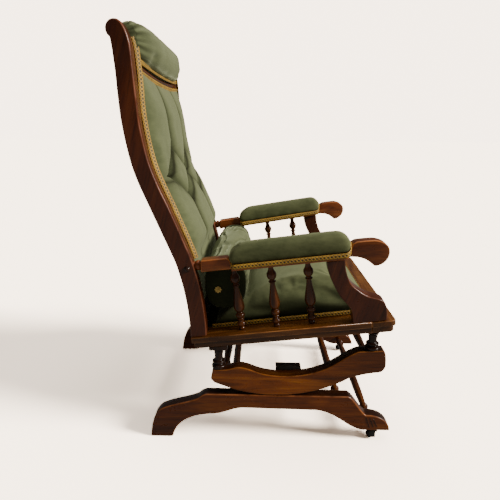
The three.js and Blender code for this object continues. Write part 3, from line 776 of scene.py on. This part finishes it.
def bolt(place, outward, radius=0.0042):
    head = [(radius, 0), (radius, 0.25), (radius * 0.82, 0.62), (radius * 0.45, 0.92), (radius * 0.12, 1.0)]
    return turning(head, place, place + outward * radius * 0.7, 14)


def coil(name):
    """A spring wound from round wire by a screw turn."""
    low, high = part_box(name)
    centre = (low + high) / 2
    wire = 0.0021
    radius = (high.x - low.x) / 2 - wire
    turns, steps = 5.5, 26
    climb = high.z - low.z - 2 * wire - 0.0012
    shape = bmesh.new()
    ring = bmesh.ops.create_circle(shape, segments=9, radius=wire, cap_ends=True)["verts"]
    bmesh.ops.rotate(shape, verts=ring, cent=(0, 0, 0), matrix=Matrix.Rotation(math.radians(90), 3, "X"))
    bmesh.ops.translate(shape, verts=ring, vec=(centre.x + radius, centre.y, low.z + wire + 0.0006))
    count = round(turns * steps)
    bmesh.ops.spin(shape, geom=shape.verts[:] + shape.edges[:] + shape.faces[:], cent=centre, axis=UP,
                   dvec=(0, 0, climb / count), angle=turns * 2 * math.pi, steps=count, use_merge=False)
    bmesh.ops.recalc_face_normals(shape, faces=shape.faces)
    return shape


for side, s in SIDES.items():
    for which, body in (("lower", "base"), ("upper", "chair")):
        name = f"spring_bracket_{which}_{side}"
        low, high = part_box(name)
        bracket = copy_of_node(name)
        if which == "upper":
            bmesh.ops.bisect_plane(bracket, geom=bracket.verts[:] + bracket.edges[:] + bracket.faces[:],
                                   plane_co=(0, 0, high.z - 0.010), plane_no=(0, 0, 1))
            middle = (low.x + high.x) / 2
            for vertex in bracket.verts:
                if vertex.co.z > high.z - 0.002:
                    vertex.co.x = middle + (vertex.co.x - middle) * 0.5
        round_edges(bracket, sharp_edges(bracket, 0.3 if which == "upper" else 0.7), 0.0014, 2)
        finish_piece(bracket, f"cast_{name}", iron, body, (name,), big_faces(bracket))
        face_y = (high.y if s > 0 else low.y) - s * 0.0042
        bolts = bmesh.new()
        for x in (low.x + 0.010, high.x - 0.010):
            z = low.z + 0.008 if which == "lower" else high.z - 0.016
            merged(bolts, bolt(Vector((x, face_y, z)), Vector((0, -s, 0))))
        finish_piece(bolts, f"bracket_bolts_{which}_{side}", steel, body)
    for place in ("rear", "front"):
        name = f"coil_spring_{side}_{place}"
        low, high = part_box(name)
        spring = finish_piece(coil(name), f"wound_{name}", steel, None, (name,))
        middle = (low + high) / 2
        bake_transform(spring)
    start, end = ends_along(f"caster_wheel_{side}", 1)
    tyre = [(0.0024, 0), (0.0058, 0), (0.0064, 0.06), (0.0082, 0.10), (0.0098, 0.14), (0.0109, 0.26),
            (0.0110, 0.5), (0.0109, 0.74), (0.0098, 0.86), (0.0082, 0.90), (0.0064, 0.94), (0.0058, 1),
            (0.0024, 1)]
    finish_piece(turning(tyre, start, end, 36), f"turned_caster_wheel_{side}", iron,
                 f"caster_roller_{side}", (f"caster_wheel_{side}",))
    rounded_copy(f"caster_horn_{side}", f"cast_caster_horn_{side}", iron, f"caster_fork_{side}",
                 0.0007, least=0.7, steps=2)
    rounded_copy(f"caster_plate_{side}", f"turned_caster_plate_{side}", iron, "base",
                 0.0008, least=0.7, steps=2)

# ---------------------------------------------------------------- upholstery

STILE_LINE = [(-159, 300), (-168, 400), (-192, 503), (-239, 622), (-283, 730), (-304, 841), (-310, 947),
              (-314, 996)]
stile_points = spline(STILE_LINE, 12)


def along_stile(t, offset):
    """A point of the back's side view, offset forwards from the stile's middle, and its forward way."""
    place = min(max(t, 0.0), 1.0) * (len(stile_points) - 1)
    i = min(int(place), len(stile_points) - 2)
    part = place - i
    (ax, az), (bx, bz) = stile_points[i], stile_points[i + 1]
    way = Vector((bx - ax, 0, bz - az)).normalized()
    forward = Vector((way.z, 0, -way.x))
    return Vector((ax + (bx - ax) * part, 0, az + (bz - az) * part)) + forward * offset, forward


def height_on_stile(z):
    """The share of the stile's line at which it reaches a height."""
    for i, ((ax, az), (bx, bz)) in enumerate(zip(stile_points, stile_points[1:])):
        if az <= z <= bz:
            return (i + (z - az) / (bz - az)) / (len(stile_points) - 1)
    return 0.0 if z < stile_points[0][1] else 1.0


# The buttons, and the folds that run between them: (y, z) in millimetres on the back's face.
UPPER, MIDDLE, LOWER = 772, 695, 630
BUTTONS = [(-88, UPPER), (88, UPPER), (-178, MIDDLE), (0, MIDDLE), (178, MIDDLE), (-89, LOWER), (89, LOWER)]
FOLDS = [((-88, UPPER), (-90, 940), 0.75), ((88, UPPER), (90, 940), 0.75)]
for y in (-88, 88):
    for across in (-90, 90):
        FOLDS.append(((y, UPPER), (y + across, MIDDLE), 1.0))
        FOLDS.append(((y + across, MIDDLE), (y, LOWER), 1.0))
FOLDS += [((-89, LOWER), (-92, 440), 0.8), ((89, LOWER), (92, 440), 0.8)]
FOLDS += [((-178, MIDDLE), (-236, MIDDLE), 0.7), ((178, MIDDLE), (236, MIDDLE), 0.7)]


def distance_to_fold(point, fold):
    a, b = Vector(fold[0]), Vector(fold[1])
    along = (point - a).dot(b - a) / (b - a).length_squared
    return (point - (a + (b - a) * min(max(along, 0), 1))).length


def pulled_in(y, z, wide, narrow):
    """How strongly the folds and the buttons pull at a place, each from 0 to 1."""
    point = Vector((y, z))
    fold = 0.0
    for item in FOLDS:
        away = distance_to_fold(point, item)
        fold = max(fold, item[2] * (0.55 * math.exp(-away / wide) + 0.45 * math.exp(-away / narrow)))
    button = max(math.exp(-(point - Vector(place)).length / 15) for place in BUTTONS)
    return fold, button


def buttoned_depth(y, z):
    """How far the stuffing stands forward of the stile's middle, in millimetres."""
    edge = 236 - abs(y)
    rise = 1 - math.exp(-max(edge, 0) / 16)
    crown = 43 + 17 * (1 - (y / 236) ** 2)
    depth = 24 + (crown - 24) * rise
    fold, button = pulled_in(y, z, 15, 2.8)
    depth -= 25 * fold * rise + 9 * button
    depth += 1.4 * (noise.noise(Vector((y / 38, z / 55, 3.1))))
    return depth


def buttoned_back():
    """The deep-buttoned back: the front is stuffed out between its folds, the rear is flat."""
    half = 236.5
    foot = height_on_stile(372)

    def top_at(y):
        return height_on_stile(951 - 12 * (1 - (y / half) ** 2))

    def front_depth(t, y):
        top = top_at(y)
        z = along_stile(t, 0)[0].z
        depth = buttoned_depth(y, z)
        tucked = smooth_step(t, height_on_stile(476), height_on_stile(540))
        depth = 12 + (depth - 12) * tucked
        if z > 700:
            depth = 23 + (depth - 23) * math.sqrt(smooth_step(top - t, -0.004, 0.13))
        return depth

    def place(u, v):
        y = (2 * v - 1) * half
        top = top_at(y)
        if u < 0.48:
            t = foot + (top - foot) * u / 0.48
            depth = front_depth(t, y)
        elif u < 0.5:
            t = top
            depth = front_depth(top, y) + (-12 - front_depth(top, y)) * (u - 0.48) / 0.02
        elif u < 0.98:
            t = top + (foot - top) * (u - 0.5) / 0.48
            depth = -12
        else:
            t = foot
            depth = -12 + (front_depth(foot, y) + 12) * (u - 0.98) / 0.02
        point, _ = along_stile(t, depth)
        return at(point.x, y, point.z)

    shape = strip_grid(place, 380, 170, True)
    back = finish_piece(shape, "buttoned_back", velvet_back, "chair", ("back_pad",))
    return back


def inflate(item, pressure, cap, pinned, frames=20):
    """Blows the padding up as cloth: pinned(point) holds a place still, and no point moves past cap."""
    mesh = item.data
    before = [vertex.co.copy() for vertex in mesh.vertices]
    group = item.vertex_groups.new(name="held")
    group.add([i for i, point in enumerate(before) if pinned(point)], 1.0, "REPLACE")
    cloth = item.modifiers.new("stuffing", "CLOTH")
    settings = cloth.settings
    settings.quality = 5
    settings.mass = 0.25
    settings.tension_stiffness = 20
    settings.compression_stiffness = 20
    settings.bending_stiffness = 2
    settings.use_pressure = True
    settings.uniform_pressure_force = pressure
    settings.vertex_group_mass = "held"
    settings.effector_weights.gravity = 0
    cloth.collision_settings.use_collision = False
    cloth.collision_settings.use_self_collision = False
    cloth.point_cache.frame_end = frames
    scene = bpy.context.scene
    for number in range(1, frames + 1):
        scene.frame_set(number)
    evaluated = item.evaluated_get(bpy.context.evaluated_depsgraph_get())
    after = [vertex.co.copy() for vertex in evaluated.data.vertices]
    item.modifiers.remove(cloth)
    scene.frame_set(1)
    for vertex, start, end in zip(mesh.vertices, before, after):
        move = end - start
        if move.length > cap:
            move *= cap / move.length
        vertex.co = start + move
    mesh.update()


def remesh(item, voxel):
    bpy.context.view_layer.objects.active = item
    item.data.remesh_voxel_size = voxel
    for other in bpy.context.selected_objects:
        other.select_set(False)
    item.select_set(True)
    bpy.ops.object.voxel_remesh()
    for polygon in item.data.polygons:
        polygon.use_smooth = True


def settle(item, rounds=4, factor=0.5):
    """Smooths a padded piece's skin after the sewing."""
    shape = bmesh.new()
    shape.from_mesh(item.data)
    for _ in range(rounds):
        bmesh.ops.smooth_vert(shape, verts=shape.verts, factor=factor, use_axis_x=True, use_axis_y=True,
                              use_axis_z=True)
    shape.to_mesh(item.data)
    shape.free()


def seat_cushion():
    """The sprung seat: domed, tight at its foot, and softly crowned."""
    shape = copy_of_node("seat_cushion")
    centre = sum((vertex.co for vertex in shape.verts), Vector()) / len(shape.verts)
    for vertex in shape.verts:
        vertex.co.y *= 0.995
        vertex.co.x = centre.x + (vertex.co.x - centre.x) * 0.985
    local = [edge for edge in sharp_edges(shape, 0.8)
             if min((to_seat @ vertex.co).z for vertex in edge.verts) > 0.012 or
             abs((edge.verts[0].co - edge.verts[1].co).z) > 0.01]
    round_edges(shape, local, 0.052, 6)
    bmesh.ops.triangulate(shape, faces=[face for face in shape.faces if len(face.verts) > 4])
    cushion = finish_piece(shape, "stuffed_seat", velvet_seat, "chair", ("seat_cushion",))
    remesh(cushion, 0.0055)
    settle(cushion, 12)
    foot = 0.010

    def held(point):
        return (to_seat @ point).z < foot

    inflate(cushion, 4, 0.010, held)
    for vertex in cushion.data.vertices:
        place = to_seat @ vertex.co
        x, y = place.x * 1000, place.y * 1000
        lumps = noise.noise(Vector((x / 120, y / 120, 7.7))) * 0.0022
        lumps += noise.noise(Vector((x / 45, y / 60, 2.2))) * 0.0008
        dome = (max(place.z, 0) / 0.09) ** 2
        place.y *= 1 - 0.12 * dome
        place.x -= 0.022 * dome * smooth_step(place.x, 0.15, 0.30)
        place.z = max(place.z + lumps * smooth_step(place.z, 0.015, 0.06), 0.0005)
        place.y = min(max(place.y, -0.2262), 0.2262)
        place.x = min(place.x, 0.2985)
        vertex.co = seat_matrix @ place
    settle(cushion, 2)
    return cushion


def ripple(value, count, sharp=1.6):
    return (0.5 + 0.5 * math.cos(value * count)) ** sharp


def oblong(angle, half_x, half_z, power=2.7):
    """The reach of a rounded oblong in one direction from its middle."""
    x, z = abs(math.cos(angle)) / half_x, abs(math.sin(angle)) / half_z
    return (x ** power + z ** power) ** (-1 / power)


def bolster():
    """The lumbar roll: gathered towards its flat ends, with loose folds over the top."""
    low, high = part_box("lumbar_bolster")
    centre = (low + high) / 2
    half = (high.y - low.y) / 2
    half_x, half_z = (high.x - low.x) / 2 - 0.001, (high.z - low.z) / 2 - 0.001

    def gather_at(angle, y):
        waves = ripple(angle + 0.4 * math.sin(3 * angle + y * 9), 15)
        return waves * math.exp(-(half - abs(y)) / 0.08)

    def crease_at(angle, y):
        near = noise.noise(Vector((angle * 2.0, y * 8 + 4, 1.7))) / 0.09
        return math.exp(-near ** 2) * smooth_step(math.sin(angle), -0.1, 0.5)

    def place(u, v):
        angle = 2 * math.pi * v
        away = abs(2 * u - 1)
        y = (2 * u - 1) * half
        swell = 0.88 + 0.12 * (1 - away ** 9) ** 0.5
        wander = noise.noise(Vector((math.cos(angle) * 1.2, math.sin(angle) * 1.2, y * 13))) * 0.0040
        fold = -0.0045 * crease_at(angle, y)
        soft = wander * (1 - away ** 6) - 0.0035 * gather_at(angle, y) + fold * (1 - away ** 4) - 0.002
        reach = oblong(angle, half_x, half_z) * swell + soft
        lower = 0.006 * smooth_step(math.sin(angle), 0, 1)
        return centre + Vector((reach * math.cos(angle), y, reach * math.sin(angle) - lower))

    shape = strip_grid(place, 150, 160, True)
    roll = finish_piece(shape, "gathered_bolster", velvet_back, "chair",
                        ("lumbar_bolster",))
    inflate(roll, 1.5, 0.003, lambda point: abs(point.y - centre.y) > half - 0.006)
    settle(roll, 2)

    # Painted shade: darker in the creases and gathers and on the steep and lower sides of the roll.
    def painted_shade(place, out):
        spoke = place - centre
        angle = math.atan2(spoke.z, spoke.x) % (2 * math.pi)
        folds = 0.3 * crease_at(angle, spoke.y) + 0.6 * gather_at(angle, spoke.y)
        return folds + 0.6 * steepness(place, out)

    mark_painted_shade(roll, painted_shade)
    for side, s in SIDES.items():
        face = centre + Vector((0, s * (half - 0.004), 0))
        dome = spline([(0.050, 0), (0.050, 0.45), (0.048, 0.8), (0.030, 1.0), (0.001, 1.0)], 4)
        panel = turning(dome, face - Vector((0, s * 0.004, 0)), face + Vector((0, s * 0.005, 0)), 72)
        for vertex in panel.verts:
            spoke = vertex.co - face
            reach = oblong(math.atan2(spoke.z, spoke.x), half_x, half_z) * 0.87 / 0.050
            vertex.co = face + Vector((spoke.x * reach, spoke.y, spoke.z * reach))
        # The end panel wears the velvet darkened with painted shade.
        end_panel = finish_piece(panel, f"bolster_end_{side}", velvet_painted_shade, "chair")
        middle = at(-112, 0, 418)
        middle.y = face.y + s * 0.005
        rosette(f"bolster_rosette_{side}", middle, Vector((0, s, 0)))
    return roll


def rosette(name, place, outward):
    """A gold thread rosette with a raised middle and eight petals."""
    shape = turning(spline([(0.0085, 0), (0.0092, 0.3), (0.0080, 0.6), (0.0052, 0.55), (0.0040, 0.8),
                            (0.0022, 1.0), (0.0004, 1.0)], 3), place, place + outward * 0.005, 48)
    for vertex in shape.verts:
        spoke = vertex.co - place
        flat = spoke - outward * spoke.dot(outward)
        if flat.length > 0.0045:
            side_way = outward.cross(UP)
            angle = math.atan2(flat.dot(UP), flat.dot(side_way))
            vertex.co += flat * (0.14 * math.cos(8 * angle) - 0.06)
    return finish_piece(shape, name, bright_gold, "chair")


def head_pillow():
    """The head roll: stuffed over the top rail and pleated towards each stile."""
    low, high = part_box("head_pillow")
    half = (high.y - low.y) / 2 - 0.0005
    section = spline([(-316, 977), (-300, 973), (-284, 975), (-266, 985), (-257, 1006), (-260, 1030),
                      (-276, 1044), (-300, 1049), (-322, 1046), (-336, 1036), (-338, 1029), (-328, 1031),
                      (-320, 1022),
                      (-318, 1000), (-316, 977)], 7)
    middle = Vector((-312, 1012))

    def pleat_at(angle, y):
        return ripple(angle + 0.3, 15, 1.3) * math.exp(-(half - abs(y)) / 0.045)

    # Painted shade: darker in the pleats towards each stile and towards the underside of the roll.
    def painted_shade(place, out):
        spoke = Vector((place.x, place.z)) - Vector((at(-312, 0, 0).x, 1.012))
        pleats = 0.9 * pleat_at(math.atan2(spoke.y, spoke.x), place.y)
        return pleats + 0.35 * (1 - smooth_step(place.z, 0.975, 1.0))

    def place(u, v):
        y = (2 * u - 1) * half
        away = abs(2 * u - 1)
        i = min(int(v * (len(section) - 1)), len(section) - 2)
        part = v * (len(section) - 1) - i
        x = section[i][0] + (section[i + 1][0] - section[i][0]) * part
        z = section[i][1] + (section[i + 1][1] - section[i][1]) * part
        bow = 1 - away ** 2
        crown = 12 * (1 - away ** 20) * min(max((z - 1012) / 37, 0), 1)
        drop = 11 * bow * min(max((994 - z) / 12, 0), 1)
        spoke = Vector((x, z)) - middle
        angle = math.atan2(spoke.y, spoke.x)
        front = smooth_step(spoke.x, -6, 22)
        pleat = 0.12 * pleat_at(angle, y) * front
        dimple = 0.10 * math.exp(-((y + 0.150) / 0.022) ** 2 - ((z - 990) / 9) ** 2)
        lumps = noise.noise(Vector((y * 22, angle * 1.1, 5))) * 0.030 * front
        spoke *= 1 - pleat - dimple + lumps
        if spoke.x > 0:
            spoke.x *= 1 - 0.52 * away ** 5
        return at(middle.x + spoke.x, y * 1000, middle.y + spoke.y + crown - drop)

    shape = strip_grid(place, 150, 110, True)
    pillow = finish_piece(shape, "pleated_head_roll", velvet_back, "chair",
                          ("head_pillow",))
    inflate(pillow, 1.5, 0.004, lambda point: abs(point.y) > half - 0.006)
    settle(pillow, 2)
    mark_painted_shade(pillow, painted_shade)
    return pillow


def arm_pad(side, s):
    """A loaf-shaped arm pad, tight on its board."""
    name = f"arm_pad_{side}"
    shape = copy_of_node(name)
    for vertex in shape.verts:
        x = (vertex.co.x - DRAWING_SHIFT) * 1000
        vertex.co.y = s * arm_y(x) / 1000 + (vertex.co.y - s * arm_y(x) / 1000) * 0.97
    bmesh.ops.triangulate(shape, faces=[face for face in shape.faces if len(face.verts) > 4])
    pad = finish_piece(shape, f"stuffed_{name}", velvet_seat, "chair", (name,))
    remesh(pad, 0.004)
    settle(pad, 14, 0.6)

    def height(point):
        x = (point.x - DRAWING_SHIFT) * 1000
        return point.z * 1000 - arm_under(x)

    inflate(pad, 4, 0.005, lambda point: height(point) < 20)
    settle(pad, 3)
    for vertex in pad.data.vertices:
        x, rise = (vertex.co.x - DRAWING_SHIFT) * 1000, (height(vertex.co) - 14) / 36
        nose = math.sin(math.pi * min(max(rise, 0), 1)) / 1000
        vertex.co.x -= 9 * nose * (1 - smooth_step(x, PAD_REAR, PAD_REAR + 40))
        vertex.co.x += 4 * nose * smooth_step(x, PAD_FRONT - 30, PAD_FRONT)
        vertex.co.z += 0.005 * smooth_step(rise, 0, 1)
        lift = 14.4 - height(vertex.co)
        if lift > 0:
            vertex.co.z += lift / 1000
    return pad


# Painted shade on the buttoned back: darker in the folds and round the buttons, and evenly darker below 470
# mm.
def back_fold_shade(place, out):
    y, z = place.y * 1000, place.z * 1000
    fold, button = pulled_in(y, z, 10, 3.5)
    return 1.35 * fold + 0.5 * button if z > 470 else 0.3


def steepness(place, out):
    """Painted shade: a cushion is darker on its sides than on its top, by how far each place looks away
    from up.
    """
    return 1.0 - smooth_step(out.z, 0.0, 0.9)


back = buttoned_back()
mark_painted_shade(back, back_fold_shade)
mark_painted_shade(seat_cushion(), steepness)
bolster()
head_pillow()
for side, s in SIDES.items():
    # Painted shade, faint, on the sides of the arm pads.
    mark_painted_shade(arm_pad(side, s), lambda place, out: 0.12 * steepness(place, out))

for number, (y, z) in enumerate(BUTTONS, 1):
    t = height_on_stile(z)
    point, forward = along_stile(t, buttoned_depth(y, z) + 0.5)
    place = at(point.x, y, point.z)
    out = Vector((forward.x, 0, forward.z))
    button = turning(spline([(0.0068, 0), (0.0080, 0.25), (0.0074, 0.6), (0.0045, 0.9), (0.0010, 1.0)], 3),
                     place - out * 0.002, place + out * 0.0042, 24)
    finish_piece(button, f"covered_button_{number}", velvet_back, "chair")

# ---------------------------------------------------------------- gimp, tacks, linings


def resampled(path, spacing):
    """Rows (place, outward way) at even steps along a path, and their distances."""
    lengths = [0.0]
    for (a, _), (b, _) in zip(path, path[1:]):
        lengths.append(lengths[-1] + (b - a).length)
    count = max(2, round(lengths[-1] / spacing))
    rows, i = [], 0
    for k in range(count + 1):
        goal = lengths[-1] * k / count
        while i < len(path) - 2 and lengths[i + 1] < goal:
            i += 1
        span = max(lengths[i + 1] - lengths[i], 1e-9)
        part = min(max((goal - lengths[i]) / span, 0), 1)
        (a, m), (b, n) = path[i], path[i + 1]
        rows.append((a.lerp(b, part), m.lerp(n, part).normalized(), goal))
    return rows


def gimp(name, path, width=0.012, body="chair"):
    """Scalloped woven braid laid along a path. Each row of the path is (place, outward way)."""
    rows = resampled(path, 0.00155)
    shape = bmesh.new()
    across = 6
    bmesh.ops.create_grid(shape, x_segments=len(rows) - 1, y_segments=across, size=0.5)
    layer = shape.loops.layers.uv.new("braid")
    shares = {}
    for vertex in shape.verts:
        i = min(max(round((vertex.co.x + 0.5) * (len(rows) - 1)), 0), len(rows) - 1)
        v = vertex.co.y + 0.5
        shares[vertex] = (rows[i][2], v)
        place, out, run = rows[i]
        way = (rows[min(i + 1, len(rows) - 1)][0] - rows[max(i - 1, 0)][0]).normalized()
        side_way = way.cross(out).normalized()
        scallop = 1 + 0.05 * math.cos(4 * math.pi * run / BRAID_PERIOD)
        wave = math.sin(2 * math.pi * run / BRAID_PERIOD)
        offset = (v - 0.5) * 2.7
        strand = math.exp(-(min(abs(offset - wave), abs(offset + wave)) / 0.42) ** 2)
        rim = 1 if 0.05 < v < 0.95 else -0.6
        lift = 0.0007 + 0.0006 * strand if rim > 0 else -0.0009
        vertex.co = place + side_way * (v - 0.5) * width * scallop + out * lift
    for face in shape.faces:
        for loop in face.loops:
            loop[layer].uv = shares[loop.vert]
    bmesh.ops.recalc_face_normals(shape, faces=shape.faces)
    middle = shape.faces[len(shape.faces) // 2]
    nearest = min(rows, key=lambda row: (row[0] - middle.calc_center_median()).length)
    if middle.normal.dot(nearest[1]) < 0:
        bmesh.ops.reverse_faces(shape, faces=shape.faces)
    return finish_piece(shape, name, gimp_gold, body)


def stile_gimp(side, s):
    """From the arm up beside the stuffing, to just under the scroll."""
    path = []
    for k in range(61):
        t = height_on_stile(498) + (height_on_stile(992) - height_on_stile(498)) * k / 60
        point, forward = along_stile(t, 26.5)
        out = (forward + Vector((0, s * 0.85, 0))).normalized()
        path.append((at(point.x, s * 233.5, point.z), out))
    path.append((at(-289, s * 233.5, 1008), Vector((1, s * 0.85, 0.1)).normalized()))
    path.append((at(-293, s * 233.5, 1022), Vector((1, s * 0.85, 0.2)).normalized()))
    return gimp(f"gimp_stile_{side}", path, 0.014)


def cross_gimp(name, z_ends, x_ends, dip, forward):
    path = []
    for k in range(31):
        y = (2 * k / 30 - 1) * 228
        bow = 1 - (y / 232) ** 2
        path.append((at(x_ends + forward * bow, y, z_ends - dip * bow), Vector((1, 0, -0.05)).normalized()))
    return gimp(name, path, 0.011)


def seat_gimp():
    """Round the foot of the seat cushion on both sides and across the front."""
    front, side_y, height, corner = 299.5, 227.2, 7.0, 14
    path = []
    for x in range(-128, int(front - corner) + 1, 8):
        path.append((seat_place(x, -side_y, height), Vector((0, -1, 0))))
    for k in range(1, 8):
        a = math.radians(90 * k / 8)
        path.append((seat_place(front - corner + corner * math.sin(a),
                                -side_y + corner - corner * math.cos(a), height),
                     Vector((math.sin(a), -math.cos(a), 0))))
    path += [(Vector((place.x, -place.y, place.z)), Vector((out.x, -out.y, out.z)))
             for place, out in reversed(path)]
    return gimp("gimp_seat", path, 0.0125)


def pad_gimp(side, s):
    """Round the foot of an arm pad: along the board, round its corners and up over the arm at each end."""
    half, corner = PAD_HALF + 0.9, 13
    low, high_rear, high_front = 10.0, 33.0, 38.0
    plan = []
    rear, front = PAD_REAR - 1.2, PAD_FRONT + 1.2
    plan.append((rear + 1, 0, high_rear, (-0.7, 0, 0.7)))
    plan.append((rear + 1, -14, high_rear - 2, (-0.8, -0.2, 0.6)))
    plan.append((rear + 0.5, -21, 23, (-1, -0.2, 0.1)))
    plan.append((rear, -half + 7, 10, (-1, -0.3, 0)))
    plan.append((rear + 2, -half + 2, low, (-0.7, -0.7, 0)))
    plan.append((rear + 7, -half, low, (0, -1, 0)))
    for x in range(int(rear) + 15, int(front) - corner, 10):
        plan.append((x, -half, low, (0, -1, 0)))
    for k in range(0, 7):
        a = math.radians(90 * k / 6)
        rise = low + 9 * (k / 6) ** 2
        plan.append((front - corner + corner * math.sin(a), -half + corner - corner * math.cos(a), rise,
                     (math.sin(a), -math.cos(a), 0)))
    plan.append((front + 0.3, -20, 28, (1, -0.3, 0.1)))
    plan.append((front - 0.5, -14, high_front - 2, (0.8, -0.3, 0.6)))
    plan.append((front - 1, 0, high_front, (0.8, 0, 0.6)))
    halves = []
    for flip in (1, -1):
        rows = [(at(x, s * arm_y(x) + s * flip * y, arm_under(x) + h),
                 Vector((n[0], s * flip * n[1], n[2])).normalized()) for x, y, h, n in plan]
        halves.append(rows)
    whole = halves[0] + list(reversed(halves[1]))[1:]
    return gimp(f"gimp_arm_{side}", whole, 0.0118)


for side, s in SIDES.items():
    stile_gimp(side, s)
    pad_gimp(side, s)
seat_gimp()
cross_gimp("gimp_under_pillow", 975, -287, 10, 6)
cross_gimp("gimp_over_back", 950, -286, 12, 6)


def outside_lining():
    """The dark lining stretched behind the back."""
    half = 237
    low, high = 0.09, height_on_stile(984)

    def place(u, v):
        t = low + (high - low) * u
        y = (2 * v - 1) * half
        slack = 2.0 * math.sin(math.pi * u) * math.cos(math.pi * y / (2 * half))
        pucker = 0.5 * noise.noise(Vector((u * 9, y / 60, 1)))
        point, _ = along_stile(t, -18.5 + slack + pucker)
        return at(point.x, y, point.z)

    shape = strip_grid(place, 70, 40)
    bmesh.ops.solidify(shape, geom=shape.faces[:], thickness=0.0008)
    bmesh.ops.recalc_face_normals(shape, faces=shape.faces)
    sheet = finish_piece(shape, "outside_back_lining", cambric, "chair",
                         ("back_outside_panel",))
    return sheet


outside_lining()


def tacks():
    """Domed tacks down each edge of the outside lining."""
    shape = bmesh.new()
    for s in SIDES.values():
        for k in range(30):
            t = 0.10 + 0.82 * k / 29
            point, forward = along_stile(t, -19.2)
            place = at(point.x, s * 231, point.z)
            merged(shape, bolt(place, Vector((-forward.x, 0, -forward.z)), 0.0036))
    return finish_piece(shape, "lining_tacks", brass, "chair")


tacks()


def webbing():
    """Jute webbing under the seat, woven over and under."""
    low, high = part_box("seat_webbing")
    rear = (to_seat @ Vector((low.x, 0, low.z))).x * 1000 + 4
    front = (to_seat @ Vector((high.x, 0, high.z))).x * 1000 - 4
    half = high.y * 1000
    width, rows, columns = 52, 5, 6
    shape = bmesh.new()
    step_x, step_y = (front - rear) / columns, 2 * half / rows
    for number in range(columns):
        x = rear + step_x * (number + 0.5)

        def across(u, v, x=x, number=number):
            y = (2 * u - 1) * half
            lift = 1.3 * math.cos(math.pi * ((y + half) / step_y + 0.5 + number))
            return seat_place(x + (v - 0.5) * (width - 6), y, -24 + lift)
        merged(shape, strip_grid(across, 60, 3))
    for number in range(rows):
        y = -half + step_y * (number + 0.5)

        def lengthways(u, v, y=y, number=number):
            x = rear + (front - rear) * u
            lift = -1.3 * math.cos(math.pi * ((x - rear) / step_x - 0.5 + number))
            return seat_place(x, y + (v - 0.5) * width, -24 + lift)
        merged(shape, strip_grid(lengthways, 60, 3))
    bmesh.ops.solidify(shape, geom=shape.faces[:], thickness=0.0009)
    return finish_piece(shape, "woven_webbing", jute, "chair", ("seat_webbing",))


webbing()

# ---------------------------------------------------------------- floor, light, camera


def bright_to_camera(tree, plain, shown):
    """A colour that only the camera sees brighter, so that a pale floor doesn't light the chair."""
    seen = node(tree, "LightPath").outputs["Is Camera Ray"]
    return mix(tree, seen, plain, shown)


def studio():
    """A plain pale floor, wide enough to reach past every view."""
    material, tree, shader = new_material("studio_floor")
    diffuse = node(tree, "BsdfDiffuse", {"Color": bright_to_camera(tree, FLOOR_LIGHT, FLOOR_SHOWN)})
    tree.links.new(diffuse.outputs["BSDF"], tree.nodes["Material Output"].inputs["Surface"])
    shape = bmesh.new()
    bmesh.ops.create_circle(shape, cap_ends=True, segments=64, radius=60)
    bmesh.ops.translate(shape, verts=shape.verts, vec=(0, 0, -0.0004))
    mesh = bpy.data.meshes.new("studio_floor")
    shape.to_mesh(mesh)
    shape.free()
    mesh.materials.append(material)
    floor = bpy.data.objects.new("studio_floor", mesh)
    bpy.context.scene.collection.objects.link(floor)


def studio_air():
    """A plain pale world."""
    world = bpy.data.worlds.new("studio_air")
    world.use_nodes = True
    tree = world.node_tree
    colour = bright_to_camera(tree, AIR_LIGHT, AIR_SHOWN)
    tree.links.new(colour, tree.nodes["Background"].inputs["Color"])
    bpy.context.scene.world = world


def soft_sun(name, comes_from, strength, spread, colour):
    """A wide soft lamp: comes_from points from the chair to the lamp, and spread is in degrees."""
    data = bpy.data.lights.new(name, "SUN")
    data.energy = strength
    data.angle = math.radians(spread)
    data.color = colour
    lamp = bpy.data.objects.new(name, data)
    lamp.rotation_euler = Vector(comes_from).to_track_quat("Z", "Y").to_euler()
    bpy.context.scene.collection.objects.link(lamp)


# What the floor and the air give to the chair, and what the camera sees of them.
FLOOR_LIGHT = (0.30, 0.29, 0.275)
FLOOR_SHOWN = (5.2, 4.4, 3.65)
AIR_SHOWN = (5.9, 4.8, 3.85)
AIR_LIGHT = (0.12, 0.117, 0.11)
studio()
studio_air()
soft_sun("window_sun", (1.0, -0.22, 0.60), 4.9, 17, (1.0, 0.96, 0.89))
soft_sun("overhead_sun", (-0.05, 0.15, 1.0), 0.85, 55, (1.0, 0.98, 0.95))


def main_camera():
    """Looks at the chair from its right side, a little above and level with the seat."""
    yaw, pitch, roll = math.radians(1.3), math.radians(15), math.radians(0.35)
    forward = Vector((-math.sin(yaw) * math.cos(pitch), math.cos(yaw) * math.cos(pitch), -math.sin(pitch)))
    level = Vector((math.cos(yaw), math.sin(yaw), 0))
    upright = level.cross(forward)
    right = level * math.cos(roll) + upright * math.sin(roll)
    up = right.cross(forward)
    data = bpy.data.cameras.new("camera")
    data.sensor_width = 36
    data.lens = 36 * 433 / 500
    camera = bpy.data.objects.new("camera", data)
    camera.matrix_world = Matrix(((right.x, up.x, -forward.x, -0.00975),
                                  (right.y, up.y, -forward.y, -1.2915),
                                  (right.z, up.z, -forward.z, 0.812), (0, 0, 0, 1)))
    bpy.context.scene.collection.objects.link(camera)
    bpy.context.scene.camera = camera


main_camera()
